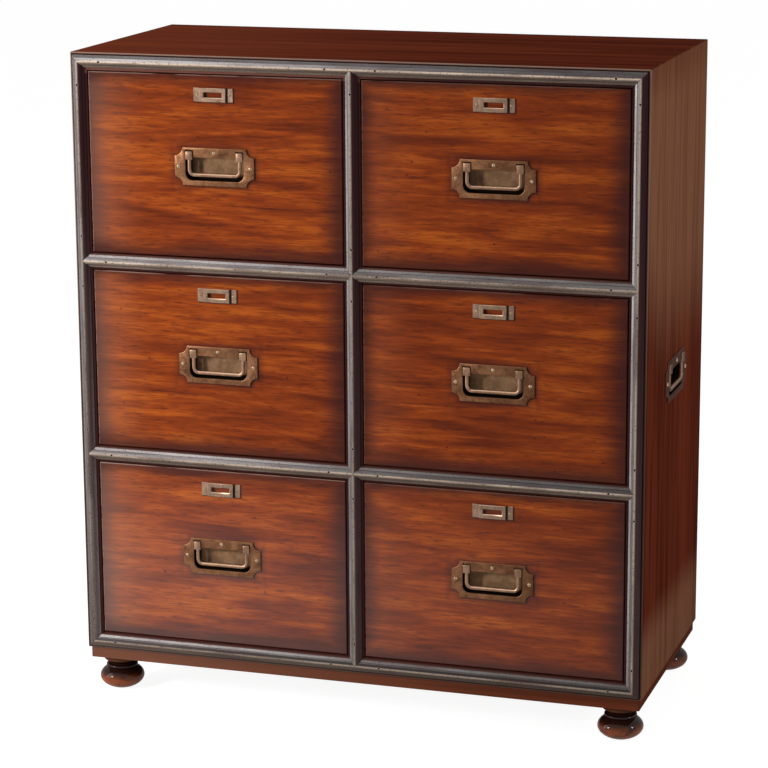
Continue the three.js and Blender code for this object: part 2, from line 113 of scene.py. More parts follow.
class ChestWood(bpy.types.PropertyGroup):
    """Colours and edges of the wooden parts."""

    front_light: colour("Front light", "Brightest streaks of a drawer front", 0.46, 0.102, 0.014)
    front_middle: colour("Front middle", "Usual colour of a drawer front", 0.265, 0.047, 0.01)
    front_dark: colour("Front dark", "Dark streaks of a drawer front", 0.125, 0.022, 0.008)
    # This dark colour marks the pores, dents and darkened edges of the fronts, and also paints the shadows
    # round the pull plates and label frames.
    burnish_and_shade: colour("Burnish", "Dark rubbed edges of the drawer fronts", 0.045, 0.015, 0.013)
    # Painted sheen: the bloom and the veil stand in for light reflected on the left of the left fronts.
    edge_sheen: colour("Bloom", "Dull rubbed left edges of the left drawer fronts", 0.12, 0.056, 0.043)
    painted_sheen: colour("Veil", "Pale polish on the left of the left drawer fronts", 0.4, 0.21, 0.13)
    # Painted highlight along the sharp edges.
    arris_highlight: colour("Arris light", "Bare wood along the sharp edges", 0.42, 0.27, 0.21)
    case_light: colour("Case light", "Light streaks of the case", 0.16, 0.031, 0.012)
    case_dark: colour("Case dark", "Dark streaks of the case", 0.072, 0.012, 0.006)
    # Painted sheen on the upper part and foot of the sides.
    case_side_sheen: colour("Case bleached", "Upper part of the sides, faded by light", 0.255, 0.11, 0.055)
    case_edge: colour("Case edge", "Front edges of the case outside the moulding", 0.03, 0.009, 0.006)
    case_lip: colour("Case lip", "Front edges of the case round the drawers", 0.044, 0.016, 0.015)
    case_ledge: colour("Case ledge", "Front edges of the case just below a drawer", 0.12, 0.052, 0.038)
    # Painted light on the left of the top.
    case_top_highlight: colour("Case sheen", "Polish on the left of the top", 0.26, 0.06, 0.026)
    # Dust and a painted sheen on the plinth's front, paler on the left; the feet's pads share the colour.
    case_dust_and_sheen: colour("Case dust", "Dusty front of the plinth", 0.19, 0.072, 0.036)
    case_brow: colour("Case brow", "Front edge of the top above the drawers", 0.15, 0.058, 0.044)
    # The feet are painted: a lit band round the bulb's belly and painted shade over the rest of the foot.
    foot_light: colour("Foot light", "Rubbed swell of the bun feet", 0.26, 0.058, 0.014)
    foot_shade: colour("Foot dark", "Hollows of the bun feet", 0.02, 0.006, 0.004)
    inside: colour("Inside", "Plain secondary wood of the drawer boxes", 0.44, 0.248, 0.118)
    arris: length("Arris", "Rounding of the case's edges", 0.8)
    front_arris: length("Front arris", "Rounding of the drawer fronts' edges", 0.6)
    board_arris: length("Board arris", "Rounding of the drawer boxes' edges", 0.9)


class ChestMetal(bpy.types.PropertyGroup):
    """Colours of the moulding and the fittings."""

    # The moulding's flanks are painted lit on the upper and left sides and shaded on the lower and right
    # sides; its crest is worn.
    rubbed: colour("Rubbed", "Tint of the moulding's rubbed flanks", 1, 0.93, 0.91)
    worn: colour("Worn", "Tint of the moulding's worn crest and lower flanks", 1, 0.78, 0.61)
    tarnish_and_shade: colour("Dark flank", "Right flanks of the moulding and its tarnish", 0.044, 0.018, 0.02)
    floor_lit_flank: colour("Pale flank", "Right flanks of the moulding near the floor", 0.3, 0.26, 0.24)
    brass_light: colour("Brass light", "Rubbed brass", 0.29, 0.135, 0.066)
    brass_dark: colour("Brass dark", "Tarnish of the brass", 0.06, 0.024, 0.012)
    bail_light: colour("Bail light", "Bails, polished by hands", 0.38, 0.235, 0.155)
    bail_dark: colour("Bail dark", "Tarnish of the bails", 0.13, 0.065, 0.038)
    label_light: colour("Label light", "Rubbed label frames", 0.37, 0.245, 0.17)
    label_dark: colour("Label dark", "Tarnish of the label frames", 0.13, 0.078, 0.052)
    side_light: colour("Side handle light", "Rubbed brass of the lifting handles", 0.1, 0.045, 0.028)
    side_dark: colour("Side handle dark", "Tarnish of the lifting handles", 0.04, 0.014, 0.008)
    side_bail_light: colour("Side bail light", "Rubbed bails of the lifting handles", 0.2, 0.115, 0.08)
    side_bail_dark: colour("Side bail dark", "Tarnish of the lifting handles' bails", 0.05, 0.022, 0.014)
    pan_floor: colour("Pan floor", "Dull floor of a pan", 0.36, 0.202, 0.108)
    # Painted shade: the walls of the pans and the edges of their floors, near black.
    pan_wall: colour("Pan wall", "Walls of a pan", 0.012, 0.008, 0.006)


class ChestMoulding(bpy.types.PropertyGroup):
    """Section of the metal moulding and its nails."""

    bead: length("Bead", "Width of the bead along the middle", 13.6)
    flank: length("Flank", "Height at which the bead starts", 3.5)
    edge: length("Edge", "Thickness at the edges", 1.5)
    neck: length("Neck", "Half the width left between two notches", 1.5)
    gap: length("Gap", "Clearance at a joint of two strips", 0.3)
    nail: length("Nail", "Radius of a nail head's dish", 1.75)
    nail_sink: length("Nail sink", "Depth of a nail's rim below the crest", 0.04)
    nail_hole: length("Nail hole", "Radius of the hole round a nail", 2.2)
    nail_depth: length("Nail depth", "Depth of the hole round a nail", 1.7)
    nail_from_corner: length("Nail from corner", "Distance of a nail from an outer corner", 40)
    nail_from_joint: length("Nail from joint", "Distance of a nail from a joint between strips", 43.5)
    steps: IntProperty(name="Bead steps", description="Steps round the bead", default=20, min=4)


class ChestPull(bpy.types.PropertyGroup):
    """Sizes of the flush pulls, which the lifting handles repeat larger."""

    thickness: length("Plate thickness", "Thickness of the plate", 2)
    scoop: length("Scoop", "Radius of the scooped corners", 14)
    rim_side: length("Side rim", "Plate beside the opening", 19)
    rim_below: length("Lower rim", "Plate below the opening", 8.5)
    rim_above: length("Upper rim", "Plate above the notches", 4.6)
    tongue: length("Tongue", "Height of the plate between the knuckles", 16.5)
    opening_corner: length("Opening corner", "Radius of the opening's lower corners", 12)
    pan_depth: length("Pan depth", "Depth of the pan behind the plate", 16)
    pan_wall: length("Pan wall", "Thickness of the pan", 2)
    pan_shade: length("Pan shade", "Width of the dark edge of a pan's floor", 9)
    rod: length("Rod", "Radius of the bail's rod", 3)
    bend: length("Bend", "Radius of the bail's bends", 9)
    bar_clearance: length("Bar clearance", "Gap below the bail's bar", 6.25)
    knuckle_width: length("Knuckle width", "Width of a knuckle", 12)
    knuckle_height: length("Knuckle height", "Height of a knuckle", 14)
    knuckle_depth: length("Knuckle depth", "Depth of a knuckle", 9)
    knuckle_clearance: length("Knuckle clearance", "Gap beside a knuckle", 1)
    sweep_clearance: length("Sweep clearance", "Gap above a turning knuckle", 0.6)
    pivot_sink: length("Pivot sink", "Depth of the pivot behind the plate's back", 0.5)
    pin: length("Pin", "Radius of the hinge pins", 1.3)
    ease: length("Edge", "Rounding of the plate's edges", 0.8)
    screw: length("Screw", "Radius of a screw head", 3.3)
    screw_rise: length("Screw rise", "Height of a screw head's dome", 1.6)
    screw_slot: length("Screw slot", "Width of a screw's slot", 0.8)
    screw_from_end: length("Screw from end", "Distance of a side screw from the plate's end", 7)
    label_screw: length("Label screw", "Radius of a label frame's screw heads", 2.3)


class ChestLabel(bpy.types.PropertyGroup):
    """Sizes of the label frames."""

    tab: length("Tab", "Thickness of a screw tab", 1.2)
    tab_width: length("Tab width", "Width of a screw tab", 12)
    ease: length("Edge", "Rounding of the frame's edges", 0.6)


class ChestStage(bpy.types.PropertyGroup):
    """Camera, lamps and floor."""

    camera_place: FloatVectorProperty(
        name="Camera place",
        description="Where the camera stands",
        default=(1.4224, -4.52095, 1.6626),
        subtype="TRANSLATION",
        unit="LENGTH",
    )
    camera_yaw: number("Camera yaw", "Turn to the left", 0.3086, unit="ROTATION")
    camera_pitch: number("Camera pitch", "Tilt downwards", 0.2321, unit="ROTATION")
    camera_roll: number("Camera roll", "Turn about the view", -0.0059, unit="ROTATION")
    focal_pixels: number("Focal length", "In pixels of the picture", 2768)
    key_power: number("Key power", "Tall lamp at the front left", 41, unit="POWER")
    side_power: number("Side power", "Tall lamp at the far left", 12, unit="POWER")
    fill_power: number("Fill power", "Lamp at the right", 29, unit="POWER")
    top_power: number("Top power", "Lamp overhead", 29, unit="POWER")
    world_strength: number("World", "Light from all round", 0.24, min=0)
    floor: colour("Floor", "Floor of the studio", 0.8, 0.8, 0.8)
    floor_glow: number("Floor glow", "Own light of the floor where it is seen", 1.48, min=0)
    glow_share: number("Glow share", "Share of the floor's own light", 0.62, min=0, max=1)


GROUPS = {
    "chest_wood": ChestWood,
    "chest_metal": ChestMetal,
    "chest_moulding": ChestMoulding,
    "chest_pull": ChestPull,
    "chest_label": ChestLabel,
    "chest_stage": ChestStage,
}


def settings(name):
    return getattr(bpy.context.scene, f"chest_{name}")


# Shader maths


class Wire:
    """A socket of a material, so that shader maths reads as plain expressions."""

    def __init__(self, finish, socket):
        self.finish = finish
        self.socket = socket

    def math(self, operation, *values):
        return self.finish.node("ShaderNodeMath", {"operation": operation}, dict(enumerate(values)))

    def __add__(self, other):
        return self.math("ADD", self, other)

    __radd__ = __add__

    def __sub__(self, other):
        return self.math("SUBTRACT", self, other)

    def __rsub__(self, other):
        return self.math("SUBTRACT", other, self)

    def __mul__(self, other):
        return self.math("MULTIPLY", self, other)

    __rmul__ = __mul__

    def __truediv__(self, other):
        return self.math("DIVIDE", self, other)

    def __abs__(self):
        return self.math("ABSOLUTE", self)

    def __mod__(self, other):
        return self.math("FLOORED_MODULO", self, other)

    def __lt__(self, other):
        return self.math("LESS_THAN", self, other)

    def least(self, other):
        return self.math("MINIMUM", self, other)

    def most(self, other):
        return self.math("MAXIMUM", self, other)

    def floor(self):
        return self.math("FLOOR", self)

    def root(self):
        return self.math("SQRT", self)

    def smooth(self, low, high):
        """0 below low and 1 above high, with a soft step between them."""
        options = {"interpolation_type": "SMOOTHSTEP"}
        sockets = {"Value": self, "From Min": low, "From Max": high}
        return self.finish.node("ShaderNodeMapRange", options, sockets)


class Finish:
    """A material, or the world's look, and the one way to add a node to it."""

    def __init__(self, name, kind="Material"):
        families = {"Material": bpy.data.materials, "World": bpy.data.worlds}
        self.owner = families[kind].new(name)
        self.owner.use_nodes = True
        self.ending = f"ShaderNodeOutput{kind}"
        self.tree = self.owner.node_tree
        self.tree.nodes.clear()

    def node(self, kind, options=None, sockets=None, output=0):
        made = self.tree.nodes.new(kind)
        for option, value in (options or {}).items():
            if option == "stops":
                self.set_stops(made.color_ramp, value)
            else:
                setattr(made, option, value)
        for socket, value in (sockets or {}).items():
            if isinstance(value, Wire):
                self.tree.links.new(value.socket, made.inputs[socket])
            else:
                made.inputs[socket].default_value = value
        return Wire(self, made.outputs[output])

    @staticmethod
    def set_stops(ramp, stops):
        while len(ramp.elements) < len(stops):
            ramp.elements.new(1)
        for element, (place, shade) in zip(ramp.elements, stops):
            element.position = place
            element.color = (*shade, 1)

    def place(self):
        """The place on the piece, in metres."""
        return self.node("ShaderNodeTexCoord", output="Object")

    def attribute(self, name):
        """A number that a piece's mesh carries."""
        return self.node("ShaderNodeAttribute", {"attribute_name": name}, output="Fac")

    def parts(self, vector):
        split = self.node("ShaderNodeSeparateXYZ", sockets={"Vector": vector}).socket.node
        return [Wire(self, socket) for socket in split.outputs]

    def vector(self, x, y, z):
        return self.node("ShaderNodeCombineXYZ", sockets={"X": x, "Y": y, "Z": z})

    def scaled(self, place, scale, offset=(0, 0, 0)):
        """A place with that many cells of a pattern in a metre, alike on all axes or one number for each."""
        scale = scale if isinstance(scale, tuple) else (scale,) * 3
        sockets = {"Vector": place, "Location": offset, "Scale": scale}
        return self.node("ShaderNodeMapping", {"vector_type": "POINT"}, sockets)

    def noise(self, place, scale, detail=2.0, roughness=0.5, distortion=0.0, offset=(0, 0, 0)):
        sockets = {"Vector": self.scaled(place, scale, offset), "Scale": 1}
        sockets.update({"Detail": detail, "Roughness": roughness, "Distortion": distortion})
        return self.node("ShaderNodeTexNoise", {"normalize": True}, sockets)

    def speckles(self, place, scale, size, share):
        """Round spots of about that size, in a few of a grid's cells."""
        sockets = {"Vector": self.scaled(place, scale), "Scale": 1}
        cells = self.node("ShaderNodeTexVoronoi", {"feature": "F1"}, sockets)
        shade = Wire(self, cells.socket.node.outputs["Color"])
        picked = self.parts(shade)[0] < share
        return picked * (1 - cells.smooth(size / 2, size))

    def mix(self, share, first, second):
        """The first colour where share is 0 and the second where it is 1. A Mix node's inputs 6 and 7 and its
        output 2 are its colours."""
        first, second = [value if isinstance(value, Wire) else (*value, 1) for value in (first, second)]
        return self.node("ShaderNodeMix", {"data_type": "RGBA"}, {0: share, 6: first, 7: second}, output=2)

    def layered(self, shade, *layers):
        """A colour with others laid over it in turn, each given as its share and itself."""
        for share, tint in layers:
            shade = self.mix(share, shade, tint)
        return shade

    def ramp(self, value, *stops):
        return self.node("ShaderNodeValToRGB", {"stops": stops}, {"Fac": value})

    def bump(self, height, distance=0.05 * MM):
        return self.node("ShaderNodeBump", sockets={"Height": height, "Distance": distance, "Strength": 1})

    def finish(self, sockets):
        """Closes a material with one shader."""
        self.close(self.node("ShaderNodeBsdfPrincipled", sockets=sockets))
        return self.owner

    def seen(self):
        """1 where it is seen, straight or in metal or glass, and 0 where it only gives light."""
        rays = ("Is Camera Ray", "Is Glossy Ray", "Is Transmission Ray")
        camera, glossy, through = [self.node("ShaderNodeLightPath", output=ray) for ray in rays]
        return camera.most(glossy).most(through)

    def close(self, shader):
        """Makes a shader the one that shows."""
        output = self.tree.nodes.new(self.ending)
        self.tree.links.new(shader.socket, output.inputs["Surface"])


# Finishes


def stretched(along, run, across):
    """A pattern's scale: run along a board's grain or a strip's length, and across on the other axes."""
    return tuple(run if axis == along else across for axis in range(3))


def grain(finish, place, along, offset=(0, 0, 0), drawn_out=1):
    """Mottle, figure, streaks, fine lines and pores of a board whose grain runs along one axis, each from
    0 to 1. Straight grain is drawn out a few times."""
    kinds = (
        (4, 17, {"detail": 1.5, "distortion": 0.3}),
        (5.5, 50, {"detail": 2, "roughness": 0.55, "distortion": 0.4}),
        (12, 170, {"detail": 2.5, "roughness": 0.6, "distortion": 0.2}),
        (26, 400, {"detail": 2, "roughness": 0.6}),
        (48, 460, {"detail": 1}),
    )
    return [
        finish.noise(place, stretched(along, run / drawn_out, across), offset=offset, **look)
        for run, across, look in kinds
    ]


def drawer_front_finish():
    wood = settings("wood")
    finish = Finish("drawer_front_mahogany")
    x, y, z = finish.parts(finish.place())
    low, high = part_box("drawer_front_bottom_left")
    width, height = high.x - low.x, high.z - low.z
    column_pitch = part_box("drawer_front_bottom_right")[0].x - low.x
    row_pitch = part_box("drawer_front_middle_left")[0].z - low.z
    column, row = ((x - low.x) / column_pitch).floor(), ((z - low.z) / row_pitch).floor()
    shifted = finish.vector(x + column * 3.1 + row * 0.37, y, z + column * 1.7)
    across, up = (x - low.x) % column_pitch, (z - low.z) % row_pitch

    mottle, figure, streaks, lines, pores = grain(finish, shifted, 0)
    specks = finish.speckles(shifted, (60, 60, 70), 0.16, 0.1)
    dents = finish.speckles(shifted, (14, 14, 18), 0.06, 0.2)
    marks = specks.most(dents)

    # Edges darkened, which wander a little, and a painted sheen on the left of the fronts and along the left
    # edges of the left column; column is 0 on the left and 1 on the right.
    wander = (finish.noise(shifted, (11, 11, 16), detail=3) - 0.5) * 0.02
    left, right = across + wander, width - across + wander
    above, below = height - up + wander, up + wander
    face = 1 - (y - low.y).smooth(0.001, 0.0025)
    # Painted sheen over the left of each front, strongest on the left column, and along its left edges.
    painted_sheen = (1 - across.smooth(0, 0.11)) * (0.07 + (1 - column) * 0.12) * face
    edge_sheen = (1 - left.smooth(-0.004, 0.042)) * (1 - column) * face * 0.88
    dark = ((1 - right.smooth(0, 0.05)) * 0.86).most((1 - below.smooth(0, 0.036)) * 0.82)
    dark = dark.most((1 - above.smooth(0, 0.024)) * 0.76)
    dark = dark.most((1 - left.smooth(-0.004, 0.034)) * column * 0.74)
    # Painted highlight along the left and top edges of each front, stronger on the left column.
    arris = (1 - across.least(height - up).smooth(0.0006, 0.0018)) * face

    # Darkening round the pull plate, a painted shadow just below and to the right of it, and painted
    # shadows of the label frame
    plate_low, plate_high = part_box("pull_plate_bottom_left")
    plate_half, scoop = (plate_high - plate_low) / 2, settings("pull").scoop

    def outside_plate(right, above):
        """The distance from a plate's outline, its scooped corners with it."""
        beside = plate_half.x - abs(across - width / 2 - right)
        over = plate_half.z - abs(up - height / 2 - above)
        corner = scoop - (beside * beside + over * over).root()
        return (0 - beside.least(over)).most(corner)

    plate_halo = 1 - (outside_plate(0, 0) + wander * 0.5).smooth(-0.001, 0.014)
    # Painted shadow of the plate, offset down and to the right.
    plate_shadow = 1 - outside_plate(0.0012, -0.0015).smooth(0, 0.003)
    label_low, label_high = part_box("label_frame_bottom_left")
    label_half = (label_high - label_low) / 2
    label_x, label_z = label_low.x - low.x + label_half.x, label_low.z - low.z + label_half.z
    # Painted shadow of the label frame along its lower and right edges, and over the wood in the left of its
    # window.
    beside = abs(across - label_x - 0.0018) - label_half.x
    outside = beside.most(abs(up - label_z + 0.001) - label_half.z)
    rim = (1 - outside.smooth(0, 0.0015)) * outside.smooth(-0.008, -0.006)
    window = (across - label_x).smooth(-0.012, -0.0095) * 0.75

    shade = finish.layered(
        finish.ramp(
            mottle * 0.27 + figure * 0.5 + streaks * 0.23,
            (0.38, wood.front_dark), (0.5, wood.front_middle), (0.64, wood.front_light),
        ),
        (0.52 * lines.smooth(0.44, 0.68), wood.front_dark),
        (0.44 * pores.smooth(0.58, 0.7), wood.burnish_and_shade),
        (0.7 * marks, wood.burnish_and_shade),
        # Painted shade: the fronts darken towards the right of the chest.
        (0.2 * x.smooth(-0.1, 0.5), wood.front_dark),
        (0.6 * (1 - face), wood.front_dark),
        (painted_sheen, wood.painted_sheen),
        (edge_sheen, wood.edge_sheen),
        (dark * (0.35 + face * 0.65), wood.burnish_and_shade),
        (plate_halo * 0.5, wood.burnish_and_shade),
        (plate_shadow * 0.55, wood.burnish_and_shade),
        (0.85 * rim, wood.burnish_and_shade),
        ((1 - outside.smooth(-0.007, -0.006)) * (0.85 - window), wood.burnish_and_shade),
        (arris * (0.75 - column * 0.45) * streaks.smooth(0.35, 0.5), wood.arris_highlight),
    )
    return finish.finish({
        "Base Color": shade,
        "Roughness": 0.36 + (streaks - 0.5) * 0.14,
        "Specular IOR Level": 0.0,
        "Coat Weight": 0.06 + (1 - z.smooth(0.2, 0.5)) * (0.85 - x.smooth(-0.45, 0.5) * 0.65),
        "Coat Roughness": 0.22,
        "Normal": finish.bump(lines * 0.5 + streaks * 0.5 - marks * 2),
    })


def case_finish(name, along):
    wood = settings("wood")
    finish = Finish(name)
    place = finish.place()
    x, y, z = finish.parts(place)
    mottle, figure, streaks, lines, pores = grain(finish, place, along, (2.3, 0.7, 1.9), 3)
    dents = finish.speckles(place, (13, 15, 14), 0.05, 0.16)
    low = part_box("left_side_panel")[0]
    brow, top = [corner.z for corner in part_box("top_panel")]
    beyond, within = 1 * MM, 0.5 * MM

    # The right side carries a painted sheen at its top and foot, and the left side only faintly.
    sheen_from = z - (1 - y.smooth(-0.23, -0.1)) * 0.08
    level = sheen_from.smooth(0.58, 0.82) * (1 - 0.4 * z.smooth(1.06, 1.135))
    level = level.most(0.8 * (1 - z.smooth(0.15, 0.24)))
    outside = (abs(x) - abs(low.x)).smooth(-0.0015, -0.0005)
    side_sheen = level * outside * (0.35 + 0.65 * x.smooth(-0.1, 0.1))
    # Painted light on the left of the top.
    polished = z.smooth(top - beyond, top - within) * (1 - x.smooth(-0.45, 0.2)) * 0.3
    # Dust and a painted sheen on the plinth's front, fading to the right.
    dust_and_sheen = (1 - z.smooth(low.z - beyond, low.z - within)) * (0.65 - x.smooth(-0.45, 0.5) * 0.4)

    # The boards' front edges, outside the moulding and round the drawers
    border = abs(abs(x) - abs(low.x)).least(abs(z - top)).least(abs(z - low.z))
    rails = ridge_lines()[1]
    over_ridge = (z - rails[0]) % ((rails[-1] - rails[0]) / (len(rails) - 1))
    ledge = over_ridge.smooth(0.0085, 0.0105) * (1 - over_ridge.smooth(0.0118, 0.0134))
    front = finish.layered(
        wood.case_lip,
        (z.smooth(brow - 7 * MM, brow - 3 * MM) * (1 - x.smooth(-0.05, 0.1)), wood.case_brow),
        (ledge * (1 - z.smooth(1, 1.01)), wood.case_ledge),
    )
    front = finish.mix(border.smooth(0.014, 0.016), wood.case_edge, front)
    edge = abs(y - low.y).most(border)
    # Painted highlight along the case's front edges, stronger higher up.
    arris = (0.2 + 0.45 * z.smooth(0.5, 1)) * (1 - edge.smooth(0.001, 0.003))

    tone = mottle * 0.25 + figure * 0.35 + streaks * 0.4
    shade = finish.layered(
        finish.ramp(tone, (0.4, wood.case_dark), (0.6, wood.case_light)),
        (0.32 * lines.smooth(0.45, 0.7), wood.case_dark),
        (0.7 * dents, wood.case_edge),
        (side_sheen * (0.5 + 0.38 * (figure + streaks).smooth(0.75, 1.15)), wood.case_side_sheen),
        (polished, wood.case_top_highlight),
        (dust_and_sheen, wood.case_dust_and_sheen),
        (1 - (y - low.y).smooth(0.0008, 0.0016), front),
        (arris, wood.arris_highlight),
    )
    return finish.finish({
        "Base Color": shade,
        "Roughness": 0.38 + (streaks - 0.5) * 0.14 + pores * 0.02,
        "Specular IOR Level": 0.0,
        "Coat Weight": 0.005 + side_sheen * 0.02 + (1 - z.smooth(0.08, 0.1)) * (1 - x.smooth(-0.5, 0.3)) * 0.38,
        "Coat Roughness": 0.3,
        "Normal": finish.bump(lines * 0.5 + streaks * 0.5 - dents * 2),
    })


def inside_finish(name, along):
    finish = Finish(name)
    mottle, figure, streaks, lines, pores = grain(finish, finish.place(), along, (0.4, 1.3, 2.2), 2.5)
    light = Vector(settings("wood").inside)
    tone = mottle * 0.1 + figure * 0.3 + streaks * 0.6
    shade = finish.ramp(tone, (0.3, light * 0.62), (0.7, light * 1.1))
    return finish.finish({
        "Base Color": finish.mix(0.35 * lines.smooth(0.5, 0.7), shade, light * 0.45),
        "Roughness": 0.62 + (streaks - 0.5) * 0.1 + pores * 0.02,
        "Specular IOR Level": 0.08,
        "Normal": finish.bump(lines + streaks),
    })


def foot_finish():
    wood = settings("wood")
    finish = Finish("foot_mahogany")
    place = finish.place()
    z = finish.parts(place)[2]
    streaks = finish.noise(place, (60, 12, 120), detail=3, roughness=0.6, distortion=0.5)
    # Painted light on a band round the bulb's belly; elsewhere the foot is painted dark as shade.
    swell = (1 - z.smooth(16 * MM, 33 * MM)) * z.smooth(0, 8 * MM)
    cove, pad = z.smooth(44 * MM, 46 * MM), z.smooth(51 * MM, 51.8 * MM)
    shade = finish.layered(
        wood.foot_shade,
        (swell * streaks.smooth(0.25, 0.55), wood.foot_light),
        (pad * (0.35 + streaks * 0.3), wood.case_dust_and_sheen),
    )
    return finish.finish({
        "Base Color": shade,
        "Roughness": 0.3 + streaks * 0.08,
        "Specular IOR Level": 0.0,
        "Coat Weight": 0.34 - cove * 0.32,
        "Coat Roughness": 0.06,
        "Normal": finish.bump(streaks),
    })


# How light the moulding is painted, as painted light and shade: its four rails from the bottom one to the top
# one, each at its left and right end, and its three uprights from the left one to the right one.
RAIL_PAINTED_TONES = {
    "flank": ((0.28, 0.135), (0.34, 0.11), (0.38, 0.185), (0.15, 0.1)),
    "band": ((0.045, 0.03), (0.23, 0.085), (0.2, 0.145), (0.38, 0.095)),
    "crest": ((0.24, 0.2), (0.33, 0.35), (0.32, 0.26), (0.32, 0.42)),
    "under": ((0.13, 0.07), (0.17, 0.14), (0.19, 0.165), (0.155, 0.125)),
}
UPRIGHT_PAINTED_TONES = {"flank": (0.14, 0.2, 0.27), "band": (0.12, 0.15, 0.13), "crest": (0.15, 0.19, 0.27)}


def moulding_finish(name, along):
    """Dark metal, worn paler along its crest, with painted light on its upper and left flanks and painted
    shade on its lower and right flanks, in tones that change from strip to strip and along the rails. Its own
    attribute
    gives the distance from the crest: positive on the upper or left flank."""
    metal = settings("metal")
    finish = Finish(name)
    place = finish.place()
    x, _, z = finish.parts(place)
    across = finish.attribute(ACROSS) / MM
    patches = finish.noise(place, stretched(along, 7, 70), detail=4, roughness=0.65)
    brushed = finish.noise(place, stretched(along, 24, 900))
    spots = finish.noise(place, 420)

    def rail_tone(part):
        share = x.smooth(-0.4, 0.3)
        tone, *higher = [left + share * (right - left) for left, right in RAIL_PAINTED_TONES[part]]
        for level, next_tone in zip((0.25, 0.6, 0.95), higher):
            tone = tone + z.smooth(level - 0.02, level + 0.02) * (next_tone - tone)
        return tone

    def upright_tone(part):
        left, centre, right = UPRIGHT_PAINTED_TONES[part]
        return left + x.smooth(-0.4, -0.1) * (centre - left) + x.smooth(0.1, 0.4) * (right - centre)

    def tinted(value, tint):
        return finish.mix(value, (0, 0, 0), tint)

    upright = along == 2
    tone = upright_tone if upright else rail_tone
    over_under = across.smooth(-2.8, -1.2)
    if upright:
        # Painted reflection of the floor: the uprights' right flanks paler low down, most on the left
        # upright.
        low_light = (1 - z.smooth(0.1, 1)) * (0.12 + (1 - x.smooth(-0.45, -0.3)) * 0.4)
        under = finish.mix(low_light, metal.tarnish_and_shade, metal.floor_lit_flank)
    else:
        under = tinted(tone("under"), metal.worn)
    tarnish = 1 - patches.smooth(0.32, 0.62)
    crest = (1 - abs(across - 0.2).smooth(0.5, 1.3)) * patches.smooth(0.38, 0.55)
    shade = finish.layered(
        under,
        (over_under, tinted(tone("crest"), metal.worn)),
        (across.smooth(0.8, 2.2), tinted(tone("band"), metal.rubbed)),
        (across.smooth(4.8, 6.4), tinted(tone("flank"), metal.rubbed)),
        (tarnish * 0.45, metal.tarnish_and_shade),
        (crest * 0.55, tinted(tone("crest") * 1.6, metal.worn)),
        (0.6 * spots.smooth(0.56, 0.68), metal.tarnish_and_shade),
    )
    return finish.finish({
        "Base Color": shade,
        "Metallic": 0.1 + over_under * 0.5 if upright else 0.6,
        "Roughness": 0.4 + patches * 0.12,
        "Specular IOR Level": 0.0,
        "Normal": finish.bump(brushed * 0.5 + patches * 0.3 + spots * 0.2, 0.06 * MM),
    })


def brass_finish(name, dark, light, outward=1, sunk=None, painted_shadow=None, metallic=0.6):
    """Aged brass, from tarnish to rubbed. Its own attribute gives where it faces up and to the left, which
    gets a painted highlight, and where it faces down and to the right, which gets painted shade. Outward is
    the axis that
    the piece faces: 1 for the front, which is painted darker on the right as shade, and 0 for the sides. Sunk
    is how far from the middle of the chest a plate's back stands, behind which its pan is dull, with its
    walls and the edges of its floor painted near black as shade, and a painted shadow, where given, says
    where it is black."""
    metal = settings("metal")
    finish = Finish(name)
    place = finish.place()
    dark, light = Vector(dark), Vector(light)
    cloud = finish.noise(place, 52, detail=5, roughness=0.68, distortion=0.3)
    mottle = finish.noise(place, 330, detail=3, roughness=0.6)
    lit = finish.attribute(LIT)
    worn = lit.smooth(0.2, 0.6) * mottle.smooth(0.2, 0.45)
    tone = cloud * 0.65 + mottle * 0.35
    shade = finish.ramp(tone, (0.34, dark), (0.5, dark * 0.55 + light * 0.45), (0.7, light))
    # Painted shade: the front's plates darken towards the right of the chest.
    if outward:
        shade = finish.mix(finish.parts(place)[0].smooth(0.2, 0.31) * 0.5, shade, dark)
    # Painted highlight where a face turns up and to the left, painted shade where it turns down and to the
    # right.
    shade = finish.layered(shade, (worn * 0.85, light * 2), ((0 - lit).smooth(0.3, 0.9) * 0.55, dark * 0.4))
    metals = metallic + worn * 0.2
    # Painted shade in the pan: its walls and the edges of its floor near black, the middle of its floor dull.
    if sunk is not None:
        depth = (sunk - abs(finish.parts(place)[outward])) / MM
        inside = depth.smooth(-0.2, 0.8)
        clear = depth.smooth(12.5, 15.6) * finish.attribute(OPEN).smooth(0.15, 0.95)
        floor = finish.mix(cloud.smooth(0.35, 0.65), Vector(metal.pan_floor) * 0.6, metal.pan_floor)
        shade = finish.mix(inside, shade, finish.mix(clear, metal.pan_wall, floor))
        metals = metals * (1 - inside)
    # Painted shadow, black where it is given.
    if painted_shadow is not None:
        shade = finish.mix(0.92 * painted_shadow(finish), shade, metal.pan_wall)
    return finish.finish({
        "Base Color": shade,
        "Metallic": metals,
        "Roughness": 0.4 + (cloud - 0.5) * 0.2,
        "Specular IOR Level": 0.0,
        "Normal": finish.bump(mottle * 0.5 + cloud, 0.1 * MM),
    })


def screw_finish():
    """Brass screws: two tones of tarnish."""
    finish = Finish("screw_brass")
    spots = finish.noise(finish.place(), 700, detail=3, roughness=0.6)
    return finish.finish({
        "Base Color": finish.mix(spots.smooth(0.4, 0.65), (0.16, 0.1, 0.055), (0.56, 0.39, 0.23)),
        "Metallic": 0.7,
        "Roughness": 0.35 + (spots - 0.5) * 0.1,
        "Normal": finish.bump(spots),
    })


